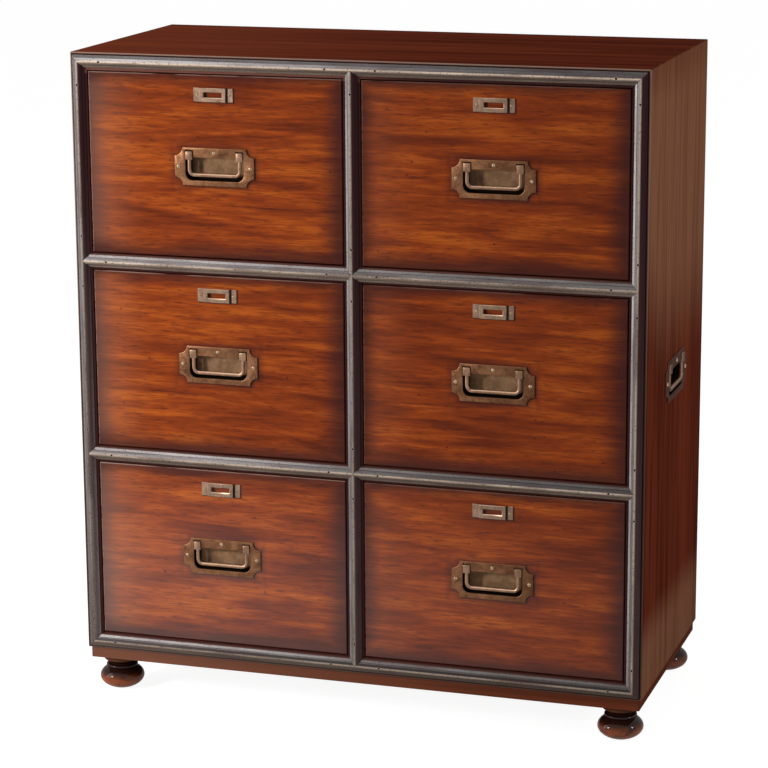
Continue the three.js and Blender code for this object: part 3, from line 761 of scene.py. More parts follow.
def nail_finish():
    """Iron nails: a pale rim round a black dish, told apart by their own attribute."""
    finish = Finish("nail_heads")
    spots = finish.noise(finish.place(), 700, detail=3, roughness=0.6)
    rim = finish.attribute(RIM) * (0.6 + spots.smooth(0.4, 0.65) * 0.4)
    return finish.finish({
        "Base Color": finish.mix(rim, (0.008, 0.006, 0.006), (0.42, 0.34, 0.29)),
        "Metallic": rim * 0.5,
        "Roughness": 0.5 + (spots - 0.5) * 0.1,
        "Specular IOR Level": 0.0,
        "Normal": finish.bump(spots),
    })


FINISHES = {}


def finish_named(name, make, *values, **options):
    """A finish that several pieces share, made when the first of them asks for it."""
    if name not in FINISHES:
        FINISHES[name] = make(*values, **options)
    return FINISHES[name]


def case_along(axis):
    return finish_named(f"case_{axis}", case_finish, f"case_mahogany_{'xyz'[axis]}", axis)


def inside_along(axis):
    return finish_named(f"inside_{axis}", inside_finish, f"inside_wood_{'xyz'[axis]}", axis)


# Modelling


def add_piece(name, bm, material, node, replaces=True, smooth_angle=32):
    """Makes a finished mesh an object that rides on the body of a CAD node, which it replaces or is fixed
    to. No angle keeps each face's own shading."""
    mesh = bpy.data.meshes.new(name)
    bm.to_mesh(mesh)
    bm.free()
    mesh.materials.append(material)
    if smooth_angle is not None:
        mesh.shade_smooth()
        mesh.set_sharp_from_angle(angle=math.radians(smooth_angle))
    piece = bpy.data.objects.new(name, mesh)
    bpy.context.scene.collection.objects.link(piece)
    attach(piece, frame["nodes"][node]["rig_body"])
    if replaces:
        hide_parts(node)


def only(kind, made):
    """The points (BMVert) or edges (BMEdge) among what a modelling step made."""
    return [item for item in made if isinstance(item, getattr(bmesh.types, kind))]


def merged_copy(node):
    """A CAD node's mesh with its loose triangles joined and its flat faces whole."""
    bm = bmesh.new()
    bm.from_mesh(frame["nodes"][node].data)
    bmesh.ops.remove_doubles(bm, verts=bm.verts, dist=MERGE_DISTANCE)
    bmesh.ops.dissolve_limit(bm, angle_limit=math.radians(1), verts=bm.verts, edges=bm.edges)
    return bm


def ease_edges(bm, width, segments=2):
    """Rounds the sharp outer edges; only the rounding is shaded smooth."""
    limit = math.radians(25)
    edges = [
        edge for edge in bm.edges
        if len(edge.link_faces) == 2 and edge.is_convex and edge.calc_face_angle(0) > limit
    ]
    rounding = bmesh.ops.bevel(
        bm, geom=edges, offset=width, offset_type="OFFSET", affect="EDGES", segments=segments,
        profile=0.5, material=-1, clamp_overlap=True,
    )["faces"]
    for face in bm.faces:
        face.smooth = False
    for face in rounding:
        face.smooth = True


def eased_node(node, material, width):
    """A CAD node with rounded edges, in its place."""
    bm = merged_copy(node)
    ease_edges(bm, width)
    add_piece(f"finished_{node}", bm, material, node, smooth_angle=None)


def oval(centre_x, centre_y, reach, rise, start, end, steps):
    """Points of a stretch of an oval, with its angles in degrees."""
    turns = [math.radians(start + (end - start) * step / steps) for step in range(steps + 1)]
    return [(centre_x + reach * math.cos(turn), centre_y + rise * math.sin(turn)) for turn in turns]


def arc(centre_x, centre_y, radius, start, end, steps):
    return oval(centre_x, centre_y, radius, radius, start, end, steps)


def flat_plate(outlines, thickness, ease):
    """A plate with rounded edges from z = 0 to its thickness; the inner outlines are holes."""
    curve = bpy.data.curves.new("outline", "CURVE")
    curve.dimensions = "2D"
    curve.fill_mode = "BOTH"
    curve.extrude = thickness / 2 - ease
    curve.bevel_depth = ease
    curve.bevel_resolution = 1
    curve.offset = -ease
    for points in outlines:
        spline = curve.splines.new("POLY")
        spline.points.add(len(points) - 1)
        for point, (x, y) in zip(spline.points, points):
            point.co = (x, y, 0, 1)
        spline.use_cyclic_u = True
    drawn = bpy.data.objects.new("outline", curve)
    bpy.context.scene.collection.objects.link(drawn)
    mesh = bpy.data.meshes.new_from_object(drawn.evaluated_get(bpy.context.evaluated_depsgraph_get()))
    bm = bmesh.new()
    bm.from_mesh(mesh)
    bpy.data.objects.remove(drawn)
    bpy.data.curves.remove(curve)
    bpy.data.meshes.remove(mesh)
    bmesh.ops.remove_doubles(bm, verts=bm.verts, dist=MERGE_DISTANCE)
    bmesh.ops.translate(bm, verts=bm.verts, vec=(0, 0, thickness / 2))
    bmesh.ops.recalc_face_normals(bm, faces=bm.faces)
    return bm


def prism(bm, points, low, high):
    """A closed solid of a flat outline, from z = low to z = high."""
    face = bm.faces.new([bm.verts.new((x, y, low)) for x, y in points])
    made = bmesh.ops.extrude_face_region(bm, geom=[face])["geom"]
    bmesh.ops.translate(bm, verts=only("BMVert", made), vec=(0, 0, high - low))
    bmesh.ops.recalc_face_normals(bm, faces=bm.faces)


def solid_box(low, high, ease):
    """A box between two corners with rounded edges."""
    bm = bmesh.new()
    bmesh.ops.create_cube(bm, size=1)
    size, middle = Vector(high) - Vector(low), (Vector(high) + Vector(low)) / 2
    bmesh.ops.transform(bm, verts=bm.verts, matrix=Matrix.LocRotScale(middle, None, size))
    ease_edges(bm, ease)
    return bm


def turned_shape(profile, steps):
    """A closed solid turned about z from a profile of (radius, height) points that ends on the axis."""
    bm = bmesh.new()
    points = [bm.verts.new((radius, 0, height)) for radius, height in profile]
    edges = [bm.edges.new(pair) for pair in zip(points, points[1:])]
    bmesh.ops.spin(
        bm, geom=points + edges, cent=(0, 0, 0), axis=(0, 0, 1), dvec=(0, 0, 0),
        angle=math.tau, steps=steps, use_merge=True, use_duplicate=False,
    )
    bmesh.ops.remove_doubles(bm, verts=bm.verts, dist=MERGE_DISTANCE)
    bmesh.ops.recalc_face_normals(bm, faces=bm.faces)
    return bm


def cylinder(radius, height, steps):
    """A closed cylinder about z, with its middle at the origin."""
    bm = bmesh.new()
    bmesh.ops.create_cone(bm, cap_ends=True, segments=steps, radius1=radius, radius2=radius, depth=height)
    return bm


def cut_across(bm, point, normal):
    """Cuts the faces of a mesh along a plane, and leaves both sides of it."""
    geometry = [*bm.verts, *bm.edges, *bm.faces]
    bmesh.ops.bisect_plane(bm, geom=geometry, dist=MERGE_DISTANCE, plane_co=point, plane_no=normal)


def join_into(target, source, matrix=None):
    """Adds one bmesh to another, moved by a matrix, and frees it."""
    if matrix is not None:
        bmesh.ops.transform(source, verts=source.verts, matrix=matrix)
    mesh = bpy.data.meshes.new("joined")
    source.to_mesh(mesh)
    source.free()
    target.from_mesh(mesh)
    bpy.data.meshes.remove(mesh)


def combined(first, second, name, operation):
    """What two solid bmeshes share (INTERSECT), or the first without the second (DIFFERENCE)."""
    objects = []
    for number, bm in enumerate((first, second)):
        mesh = bpy.data.meshes.new(f"{name}_{number}")
        bm.to_mesh(mesh)
        bm.free()
        made = bpy.data.objects.new(mesh.name, mesh)
        bpy.context.scene.collection.objects.link(made)
        objects.append(made)
    cut = objects[0].modifiers.new("cut", "BOOLEAN")
    cut.operation = operation
    cut.solver = "EXACT"
    cut.object = objects[1]
    mesh = bpy.data.meshes.new_from_object(objects[0].evaluated_get(bpy.context.evaluated_depsgraph_get()))
    result = bmesh.new()
    result.from_mesh(mesh)
    bpy.data.meshes.remove(mesh)
    for made in objects:
        old = made.data
        bpy.data.objects.remove(made)
        bpy.data.meshes.remove(old)
    bmesh.ops.remove_doubles(result, verts=result.verts, dist=MERGE_DISTANCE)
    return result


def mark_light(bm, up=1, ahead=0.0):
    """Notes on each face's corners how far it faces up and to the left of its front view, from -1 to 1.
    Flat faces that face ahead get their own value."""
    bm.normal_update()
    lit = bm.loops.layers.float.new(LIT)
    limit, level = math.radians(12), 0.999
    from_above, from_right = 0.8, -0.6
    for face in bm.faces:
        for loop in face.loops:
            smooth = face.normal.angle(loop.vert.normal, 0) < limit
            normal = loop.vert.normal if smooth else face.normal
            flat = smooth and abs(face.normal[3 - up]) > level
            loop[lit] = ahead if flat else from_above * normal[up] + from_right * normal.x


def facing(outward, place):
    """A matrix that stands a piece drawn in front view on a face of the chest: its x runs to the right of
    someone who looks at that face, its y up and its z out of the face."""
    out = Vector(outward)
    up = Vector((0, 0, 1))
    right = up.cross(out)
    return Matrix.Translation(place) @ Matrix((right, up, out)).transposed().to_4x4()


# Case


class CHEST_OT_case(bpy.types.Operator):
    """Finishes the top, sides, bottom, back, partition and dust boards"""

    bl_idname = "chest.case"
    bl_label = "Case"

    def execute(self, context):
        wood = settings("wood")
        for node in ("top_panel", "bottom_panel", "lower_dust_board", "upper_dust_board"):
            eased_node(node, case_along(0), wood.arris)
        for node in ("left_side_panel", "right_side_panel", "centre_partition"):
            eased_node(node, case_along(2), wood.arris)
        eased_node("back_panel", inside_along(2), wood.arris)
        return {"FINISHED"}


class CHEST_OT_plinth(bpy.types.Operator):
    """Finishes the mitred rails of the plinth"""

    bl_idname = "chest.plinth"
    bl_label = "Plinth"

    def execute(self, context):
        wood = settings("wood")
        for side, along in (("front", 0), ("back", 0), ("left", 1), ("right", 1)):
            eased_node(f"plinth_{side}_rail", case_along(along), wood.arris)
        return {"FINISHED"}


class CHEST_OT_feet(bpy.types.Operator):
    """Turns the bun feet: a bulb, a ring bead and a cove under the plinth"""

    bl_idname = "chest.feet"
    bl_label = "Bun feet"

    base_radius: length("Base", "Radius of the flat underside", 16)
    collar_radius: length("Collar", "Radius at the top of the bulb", 25)
    bead_swell: length("Bead swell", "How far the ring bead stands out", 3)
    bead_height: length("Bead height", "Height of the ring bead", 6)
    ring_swell: length("Ring swell", "How far the small ring above the bead stands out", 2.4)
    ring_height: length("Ring height", "Height of the small ring", 4)
    neck_radius: length("Neck radius", "Radius at the foot of the cove", 22)
    cove_height: length("Cove height", "Height of the cove", 4.2)
    pad_radius: length("Pad", "Radius of the pad under the plinth", 31)
    pad_height: length("Pad height", "Height of the pad", 9.6)
    pad_ease: length("Pad edge", "Rounding of the pad's lower edge", 0.8)

    def profile(self, bulb_radius, height):
        """Half of a foot's outline, from the middle of its underside to the middle of its top."""
        base_angle = math.acos(self.base_radius / bulb_radius)
        collar_angle = math.acos(self.collar_radius / bulb_radius)
        bulb_height = height - self.bead_height - self.ring_height - self.cove_height - self.pad_height
        half_height = bulb_height / (math.sin(base_angle) + math.sin(collar_angle))
        belly = half_height * math.sin(base_angle)
        start, end = -math.degrees(base_angle), math.degrees(collar_angle)
        half_bead, half_ring = self.bead_height / 2, self.ring_height / 2
        bead_middle = bulb_height + half_bead
        ring_middle = bulb_height + self.bead_height + half_ring
        pad_foot, lip = height - self.pad_height, self.pad_radius - self.pad_ease
        cove_reach, cove_foot = lip - self.neck_radius, pad_foot - self.cove_height
        return [
            (0, 0),
            *oval(0, belly, bulb_radius, half_height, start, end, 26),
            *oval(self.collar_radius, bead_middle, self.bead_swell, half_bead, -90, 90, 10)[1:],
            *oval(self.neck_radius, ring_middle, self.ring_swell, half_ring, -90, 90, 8),
            *oval(lip, cove_foot, cove_reach, self.cove_height, 180, 90, 8)[1:],
            *arc(lip, pad_foot + self.pad_ease, self.pad_ease, -90, 0, 4)[1:],
            (self.pad_radius, height),
            (0, height),
        ]

    def execute(self, context):
        material = finish_named("foot", foot_finish)
        for end in ("front", "back"):
            for hand in HANDS:
                node = f"foot_{end}_{hand}"
                low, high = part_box(node)
                middle = (low + high) / 2
                bm = turned_shape(self.profile((high.x - low.x) / 2, high.z), 72)
                bmesh.ops.translate(bm, verts=bm.verts, vec=(middle.x, middle.y, 0))
                add_piece(f"bun_{node}", bm, material, node)
        return {"FINISHED"}


# Moulding


def ridge_lines():
    """Where the moulding's ridges run: x of the uprights and z of the rails."""
    def middle(name):
        low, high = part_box(f"trim_{name}")
        return (low + high) / 2

    uprights = [middle(name).x for name in ("left", "centre", "right")]
    rails = [middle(name).z for name in ("bottom", "lower_left", "upper_left", "top")]
    return uprights, rails


def trim_half():
    """Half the width of a strip."""
    low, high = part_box("trim_top")
    return (high.z - low.z) / 2


def trim_section():
    """A strip's outline across its run, from its back's lower edge over the bead to its upper edge."""
    moulding = settings("moulding")
    low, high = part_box("trim_top")
    half, rise = trim_half(), high.y - low.y
    bead = oval(0, moulding.flank, moulding.bead / 2, rise - moulding.flank, 180, 0, moulding.steps)
    return [(-half, 0), (-half, moulding.edge), *bead, (half, moulding.edge), (half, 0)]


def trim_end(x, mitred):
    """The corners of one end of a strip, from its lower to its upper edge."""
    moulding = settings("moulding")
    half, back = trim_half(), moulding.gap * math.sqrt(0.5)
    if mitred:
        return [(x - half - back, -half), (x + half - back, half)]
    tip, tip_half = x - moulding.neck - moulding.gap, moulding.neck + moulding.gap - back
    return [(x - half - back, -half), (tip, -tip_half), (tip, tip_half), (x - half - back, half)]


def trim_notch(x):
    """The notch in a strip's lower edge that takes the point of a strip meeting it."""
    moulding = settings("moulding")
    half, back = trim_half(), moulding.gap * math.sqrt(0.5)
    mouth, neck = half + back, moulding.neck + back
    return [(x - mouth, -half), (x - neck, -moulding.neck), (x + neck, -moulding.neck), (x + mouth, -half)]


def moulding_strip(span, mitred, below=(), above=()):
    """A strip along x between two ridge crossings, with notches below and above its ridge."""
    end = trim_end(span / 2, mitred)
    start = [(-x, y) for x, y in reversed(end)]
    low_side = [point for x in sorted(below) for point in trim_notch(x)]
    high_side = [(x, -y) for notch in sorted(above) for x, y in trim_notch(notch)]
    plan = bmesh.new()
    reach = 20 * MM
    prism(plan, [*low_side, *end, *reversed(high_side), *start], -reach, reach)
    bar = bmesh.new()
    run = span / 2 + 2 * trim_half()
    prism(bar, trim_section(), -run, run)
    bmesh.ops.transform(bar, verts=bar.verts, matrix=Matrix(((0, 0, 1), (1, 0, 0), (0, 1, 0))).to_4x4())
    return combined(bar, plan, "strip", "INTERSECT")


def nail_places():
    """Where the nails stand, as x and z: one near each end of each length of the moulding."""
    moulding = settings("moulding")
    uprights, rails = ridge_lines()
    corner, joint = moulding.nail_from_corner, moulding.nail_from_joint
    places = []
    for rail in rails:
        from_side = corner if rail in (rails[0], rails[3]) else joint
        for left, right in zip(uprights, uprights[1:]):
            first = from_side if left == uprights[0] else joint
            last = from_side if right == uprights[2] else joint
            places += [(left + first, rail), (right - last, rail)]
    for upright in uprights:
        for low, high in zip(rails, rails[1:]):
            first = corner if low == rails[0] else joint
            last = corner if high == rails[3] else joint
            places += [(upright, low + first), (upright, high - last)]
    return places


def drilled(bm, axis):
    """A strip, stood up along an axis, with a hole for each nail. Cuts beside the holes keep the shading
    clean."""
    moulding = settings("moulding")
    lows, highs = [[pick(vert.co[side] for vert in bm.verts) for side in range(3)] for pick in (min, max)]
    places = [(x, z) for x, z in nail_places() if lows[0] < x < highs[0] and lows[2] < z < highs[2]]
    normal = Vector((axis == 0, 0, axis == 2))
    beside = 4 * MM
    holes = bmesh.new()
    for x, z in places:
        for side in (-1, 1):
            cut_across(bm, Vector((x, 0, z)) + normal * side * beside, normal)
        hole = cylinder(moulding.nail_hole, 2 * moulding.nail_depth, 20)
        join_into(holes, hole, facing(FORWARD, (x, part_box("trim_top")[0].y, z)))
    return combined(bm, holes, "strip", "DIFFERENCE")


class CHEST_OT_moulding(bpy.types.Operator):
    """Makes the metal moulding, mitred at the corners, pointed where strips meet and drilled for nails"""

    bl_idname = "chest.moulding"
    bl_label = "Moulding"

    def execute(self, context):
        uprights, rails = ridge_lines()
        width, rise = uprights[2] - uprights[0], rails[3] - rails[0]
        middle_x, middle_z = uprights[1], (rails[0] + rails[3]) / 2
        crossings = [rail - middle_z for rail in rails[1:3]]
        mirrored = [-crossing for crossing in crossings]
        self.add("top", moulding_strip(width, True, [0]), middle_x, rails[3], 0)
        self.add("bottom", moulding_strip(width, True, [0]), middle_x, rails[0], 180)
        self.add("left", moulding_strip(rise, True, crossings), uprights[0], middle_z, 90)
        self.add("right", moulding_strip(rise, True, mirrored), uprights[2], middle_z, -90)
        self.add("centre", moulding_strip(rise, False, crossings, crossings), middle_x, middle_z, 90)
        for level, rail in zip(("lower", "upper"), rails[1:3]):
            for hand, side in HANDS.items():
                strip = moulding_strip(width / 2, False)
                self.add(f"{level}_{hand}", strip, middle_x + side * width / 4, rail, 0)
        return {"FINISHED"}

    def add(self, name, bm, x, z, turn):
        """Stands a strip up and notes at each point how far above or to the left of the crest it lies."""
        node = f"trim_{name}"
        axis = 2 if abs(turn) == 90 else 0
        stand = facing(FORWARD, (x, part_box(node)[1].y, z)) @ Matrix.Rotation(math.radians(turn), 4, "Z")
        bmesh.ops.transform(bm, verts=bm.verts, matrix=stand)
        bm = drilled(bm, axis)
        across = bm.verts.layers.float.new(ACROSS)
        for vert in bm.verts:
            vert[across] = vert.co.z - z if axis == 0 else x - vert.co.x
        material = finish_named(f"moulding_{axis}", moulding_finish, f"trim_metal_{'xyz'[axis]}", axis)
        add_piece(f"moulding_{name}", bm, material, node)


class CHEST_OT_nails(bpy.types.Operator):
    """Drives a nail into each hole of the moulding"""

    bl_idname = "chest.nails"
    bl_label = "Moulding nails"

    def head(self):
        """A dished head inside a thin raised rim."""
        radius = settings("moulding").nail
        profile = [
            (0, -0.55), (0.75, -0.5), (0.95, -0.25), (1.06, -0.02), (1.16, 0), (1.3, -0.05), (1.42, -0.3),
            (1.35, -1.2), (0, -1.3),
        ]
        return turned_shape([(radius * out, radius * rise) for out, rise in profile], 18)

    def execute(self, context):
        moulding = settings("moulding")
        bm = bmesh.new()
        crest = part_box("trim_top")[0].y
        places = nail_places()
        for x, z in places:
            join_into(bm, self.head(), facing(FORWARD, (x, crest + moulding.nail_sink, z)))
        rim = bm.verts.layers.float.new(RIM)
        for vert in bm.verts:
            nearest = min(math.hypot(vert.co.x - x, vert.co.z - z) for x, z in places)
            vert[rim] = nearest > 0.98 * moulding.nail
        add_piece("moulding_nails", bm, finish_named("nail", nail_finish), "trim_top", replaces=False)
        return {"FINISHED"}


# Drawers


class CHEST_OT_drawer_fronts(bpy.types.Operator):
    """Finishes the six drawer fronts"""

    bl_idname = "chest.drawer_fronts"
    bl_label = "Drawer fronts"

    def execute(self, context):
        wood = settings("wood")
        material = finish_named("front", drawer_front_finish)
        for place in PLACES:
            eased_node(f"drawer_front_{place}", material, wood.front_arris)
        return {"FINISHED"}


class CHEST_OT_drawer_boxes(bpy.types.Operator):
    """Finishes the drawer boxes behind the fronts"""

    bl_idname = "chest.drawer_boxes"
    bl_label = "Drawer boxes"

    def execute(self, context):
        wood = settings("wood")
        for place in PLACES:
            eased_node(f"drawer_box_{place}", inside_along(1), wood.board_arris)
        return {"FINISHED"}


# Pulls and handles


class Handle:
    """A flush pull or lifting handle: where its CAD plate stands, and the sizes that follow from it."""

    def __init__(self, plate_node, bail_node, outward):
        pull = settings("pull")
        low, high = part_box(plate_node)
        out = Vector(outward)
        size = high - low
        self.height = size.z
        self.width = size.y if out.x else size.x
        self.share = self.height / plate_height()
        thickness = pull.thickness * self.share
        place = (low + high) / 2
        for axis in range(2):
            if out[axis]:
                place[axis] = (high if out[axis] > 0 else low)[axis] - out[axis] * thickness
        self.stand = facing(outward, place)
        self.plate_node, self.bail_node = plate_node, bail_node
        self.outward = 0 if out.x else 1

    def size(self, name):
        return getattr(settings("pull"), name) * self.share

    @property
    def half_span(self):
        return self.width / 2 - self.size("rim_side")

    @property
    def bottom(self):
        return self.size("rim_below") - self.height / 2

    @property
    def top(self):
        return self.height / 2 - self.size("rim_above")

    @property
    def pivot_rise(self):
        sweep = math.hypot(self.size("knuckle_height") / 2, self.size("knuckle_depth") / 2)
        return self.top - sweep - self.size("sweep_clearance")

    @property
    def leg_x(self):
        return self.half_span - self.size("knuckle_clearance") - self.size("knuckle_width") / 2

    def lower_corners(self, radius):
        """The round lower corners of the opening, from its left side to its right side."""
        x, y = self.half_span - radius, self.bottom + radius
        return arc(-x, y, radius, 180, 270, 8) + arc(x, y, radius, 270, 360, 8)


def plate_height():
    """The height of a pull's plate, to which the lifting handles' sizes are scaled."""
    low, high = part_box("pull_plate_bottom_left")
    return high.z - low.z


def handles():
    found = [Handle(f"pull_plate_{place}", f"pull_bail_{place}", FORWARD) for place in PLACES]
    for hand, side in HANDS.items():
        found.append(Handle(f"handle_plate_{hand}", f"handle_bail_{hand}", (side, 0, 0)))
    return found


class CHEST_OT_plates(bpy.types.Operator):
    """Makes the scooped plates of the pulls and handles, each with its pan"""

    bl_idname = "chest.plates"
    bl_label = "Pull plates"

    def outlines(self, handle):
        half_width, half_height = handle.width / 2, handle.height / 2
        scoop = handle.size("scoop")
        edge = []
        for x, y, start in ((1, -1, 180), (1, 1, 270), (-1, 1, 0), (-1, -1, 90)):
            edge += arc(x * half_width, y * half_height, scoop, start, start - 90, 8)
        notch = handle.leg_x - handle.size("knuckle_width") / 2 - handle.size("knuckle_clearance")
        tongue = half_height - handle.size("tongue")
        inner = handle.lower_corners(handle.size("opening_corner"))
        inner += [(handle.half_span, handle.top), (notch, handle.top), (notch, tongue)]
        inner += [(-notch, tongue), (-notch, handle.top), (-handle.half_span, handle.top)]
        return [edge, inner]

    def pan(self, handle):
        """An open tray with a rounded floor."""
        bm = bmesh.new()
        outline = handle.lower_corners(handle.size("opening_corner"))
        outline += [(handle.half_span, handle.top), (-handle.half_span, handle.top)]
        depth = handle.size("pan_depth")
        prism(bm, outline, -depth, 0)
        floor_edges = [edge for edge in bm.edges if all(vert.co.z < -depth / 2 for vert in edge.verts)]
        rounding = 2.5 * MM
        bmesh.ops.bevel(
            bm, geom=floor_edges, offset=rounding, offset_type="OFFSET", affect="EDGES", segments=3,
            profile=0.5, material=-1, clamp_overlap=True,
        )
        lid = [
            face for face in bm.faces
            if face.normal.z > 0.5 and face.calc_center_median().z > -depth / 2
        ]
        bmesh.ops.delete(bm, geom=lid, context="FACES")
        bmesh.ops.reverse_faces(bm, faces=bm.faces)
        floor = [face for face in bm.faces if face.calc_center_median().z < 0.01 * MM - depth]
        bmesh.ops.inset_region(bm, faces=floor, thickness=handle.size("pan_shade"), use_even_offset=True)
        bmesh.ops.solidify(bm, geom=bm.faces, thickness=handle.size("pan_wall"))
        return bm

    def mark_open(self, bm, handle):
        """Notes where a pan's floor is clear of the shade of its walls."""
        clear = bm.verts.layers.float.new(OPEN)
        shade = handle.size("pan_shade") * 0.6
        for vert in bm.verts:
            x, y, z = vert.co
            beside = min(handle.half_span - abs(x), handle.top - y, y - handle.bottom)
            vert[clear] = z < -0.9 * handle.size("pan_depth") and beside > shade

    def execute(self, context):
        metal = settings("metal")
        looks = {
            1: (metal.brass_dark, metal.brass_light, 0.6),
            0: (metal.side_dark, metal.side_light, 0.1),
        }
        for handle in handles():
            bm = flat_plate(self.outlines(handle), handle.size("thickness"), handle.size("ease"))
            join_into(bm, self.pan(handle))
            self.mark_open(bm, handle)
            mark_light(bm)
            bmesh.ops.transform(bm, verts=bm.verts, matrix=handle.stand)
            axis = handle.outward
            dark, light, metallic = looks[axis]
            material = finish_named(
                f"plate_{axis}", brass_finish, f"aged_brass_plate_{'xyz'[axis]}", dark, light,
                outward=axis, sunk=abs(handle.stand.translation[axis]), metallic=metallic,
            )
            node = handle.plate_node
            add_piece(f"scooped_{node}", bm, material, node)
        return {"FINISHED"}


class CHEST_OT_bails(bpy.types.Operator):
    """Bends the bails, with their square knuckles and hinge pins"""

    bl_idname = "chest.bails"
    bl_label = "Bails"

    def rod(self, handle):
        """A round rod, swept down a leg, round two bends and up again."""
        radius, bend = handle.size("rod"), handle.size("bend")
        bar_y = handle.bottom + handle.size("bar_clearance") + radius
        leg = handle.pivot_rise - bar_y - bend
        bm = bmesh.new()
        bmesh.ops.create_circle(bm, segments=20, radius=radius)
        start = Matrix.Translation((-handle.leg_x, handle.pivot_rise, 0))
        bmesh.ops.transform(bm, verts=bm.verts, matrix=start @ Matrix.Rotation(math.pi / 2, 4, "X"))
        ring = list(bm.edges)
        bar = 2 * (handle.leg_x - bend)
        for step in ("leg", "left bend", "bar", "right bend", "leg"):
            if step.endswith("bend"):
                side = -1 if step.startswith("left") else 1
                made = bmesh.ops.spin(
                    bm, geom=ring, cent=(side * (handle.leg_x - bend), bar_y + bend, 0), axis=(0, 0, 1),
                    dvec=(0, 0, 0), angle=math.pi / 2, steps=10, use_merge=False, use_duplicate=False,
                )["geom_last"]
            else:
                made = bmesh.ops.extrude_edge_only(bm, edges=ring)["geom"]
                down = bar_y + bend < max(vert.co.y for edge in ring for vert in edge.verts) - leg / 2
                move = (bar, 0, 0) if step == "bar" else (0, -leg if down else leg, 0)
                bmesh.ops.translate(bm, verts=only("BMVert", made), vec=move)
            ring = only("BMEdge", made)
        bmesh.ops.holes_fill(bm, edges=bm.edges, sides=0)
        bmesh.ops.recalc_face_normals(bm, faces=bm.faces)
        return bm

    def execute(self, context):
        metal = settings("metal")
        looks = {
            1: ("bail", metal.bail_dark, metal.bail_light, 0.6),
            0: ("side_bail", metal.side_bail_dark, metal.side_bail_light, 0.2),
        }
        knuckle_ease = 0.9 * MM
        for handle in handles():
            bm = self.rod(handle)
            half = Vector([handle.size(f"knuckle_{name}") / 2 for name in ("width", "height", "depth")])
            reach = half.x + handle.size("knuckle_clearance")
            for side in (-1, 1):
                centre = Vector((side * handle.leg_x, handle.pivot_rise, -handle.size("pivot_sink")))
                join_into(bm, solid_box(centre - half, centre + half, knuckle_ease * handle.share))
                pin_place = Matrix.Translation(centre + Vector((side * reach / 2, 0, 0)))
                lying = Matrix.Rotation(math.pi / 2, 4, "Y")
                join_into(bm, cylinder(handle.size("pin"), reach, 16), pin_place @ lying)
            mark_light(bm, ahead=-0.6)
            bmesh.ops.transform(bm, verts=bm.verts, matrix=handle.stand)
            name, dark, light, metallic = looks[handle.outward]
            material = finish_named(
                name, brass_finish, f"aged_brass_{name}", dark, light,
                outward=handle.outward, metallic=metallic,
            )
            node = handle.bail_node
            add_piece(f"bent_{node}", bm, material, node)
        return {"FINISHED"}


def screw_head(radius, rise, slot_width, turn):
    """A domed screw head with its slot cut."""
    foot, slot_depth = -0.4 * MM, rise * 0.7
    dome = oval(0, 0, radius, rise, 0, 90, 6)[:-1]
    bm = turned_shape([(0, foot), (radius, foot), *dome, (0, rise)], 24)
    for side in (-1, 1):
        cut_across(bm, (side * slot_width / 2, 0, 0), (1, 0, 0))
    slot = [
        face for face in bm.faces
        if face.normal.z > 0.2 and max(abs(vert.co.x) for vert in face.verts) < slot_width * 0.6
    ]
    made = bmesh.ops.extrude_face_region(bm, geom=slot)["geom"]
    bmesh.ops.translate(bm, verts=only("BMVert", made), vec=(0, 0, -slot_depth))
    bmesh.ops.delete(bm, geom=slot, context="FACES")
    bmesh.ops.recalc_face_normals(bm, faces=bm.faces)
    bmesh.ops.rotate(bm, verts=bm.verts, matrix=Matrix.Rotation(turn, 3, "Z"))
    return bm


class CHEST_OT_screws(bpy.types.Operator):
    """Sets the slotted screws of the pulls, the handles and the label frames"""

    bl_idname = "chest.screws"
    bl_label = "Screws"

    def execute(self, context):
        chance = random.Random(7)
        pull, label = settings("pull"), settings("label")
        material = finish_named("screw", screw_finish)
        for handle in handles():
            bm = bmesh.new()
            spread = handle.width / 2 - handle.size("screw_from_end")
            rise = handle.height / 2 - handle.size("tongue") / 2
            sizes = [handle.size(name) for name in ("screw", "screw_rise", "screw_slot")]
            for x, y in ((-spread, 0), (spread, 0), (0, rise)):
                head = screw_head(*sizes, chance.uniform(0, math.pi))
                join_into(bm, head, handle.stand @ Matrix.Translation((x, y, handle.size("thickness"))))
            node = handle.plate_node
            add_piece(f"screws_{node}", bm, material, node, replaces=False)
        for place in PLACES:
            node = f"label_frame_{place}"
            low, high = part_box(node)
            inset = label.tab_width / 2
            sizes = (pull.label_screw, pull.screw_rise * 0.8, pull.screw_slot)
            bm = bmesh.new()
            for x in (low.x + inset, high.x - inset):
                head = screw_head(*sizes, chance.uniform(0, math.pi))
                join_into(bm, head, facing(FORWARD, (x, high.y - label.tab, (low.z + high.z) / 2)))
            add_piece(f"screws_{node}", bm, material, node, replaces=False)
        return {"FINISHED"}


def label_finish():
    """The brass of the label frames, with a painted shadow in the step beside the bridge."""
    metal = settings("metal")
    low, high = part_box("label_frame_bottom_left")
    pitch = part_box("label_frame_bottom_right")[0].x - low.x
    step = high.x - low.x - settings("label").tab_width

    # Painted shadow on the tab just past the bridge's end.
    def painted_shadow(finish):
        past_step = (finish.parts(finish.place())[0] - low.x) % pitch - step
        return past_step.smooth(-0.0003, 0.0003) * (1 - past_step.smooth(0.003, 0.004))

    return brass_finish("aged_brass_label", metal.label_dark, metal.label_light, painted_shadow=painted_shadow)


class CHEST_OT_labels(bpy.types.Operator):
    """Finishes the label frames near the top of the drawer fronts"""

    bl_idname = "chest.labels"
    bl_label = "Label frames"

    def execute(self, context):
        material = finish_named("label", label_finish)
        for place in PLACES:
            node = f"label_frame_{place}"
            bm = merged_copy(node)
            ease_edges(bm, settings("label").ease, 1)
            mark_light(bm, 2)
            add_piece(f"finished_{node}", bm, material, node, smooth_angle=None)
        return {"FINISHED"}


# Stage


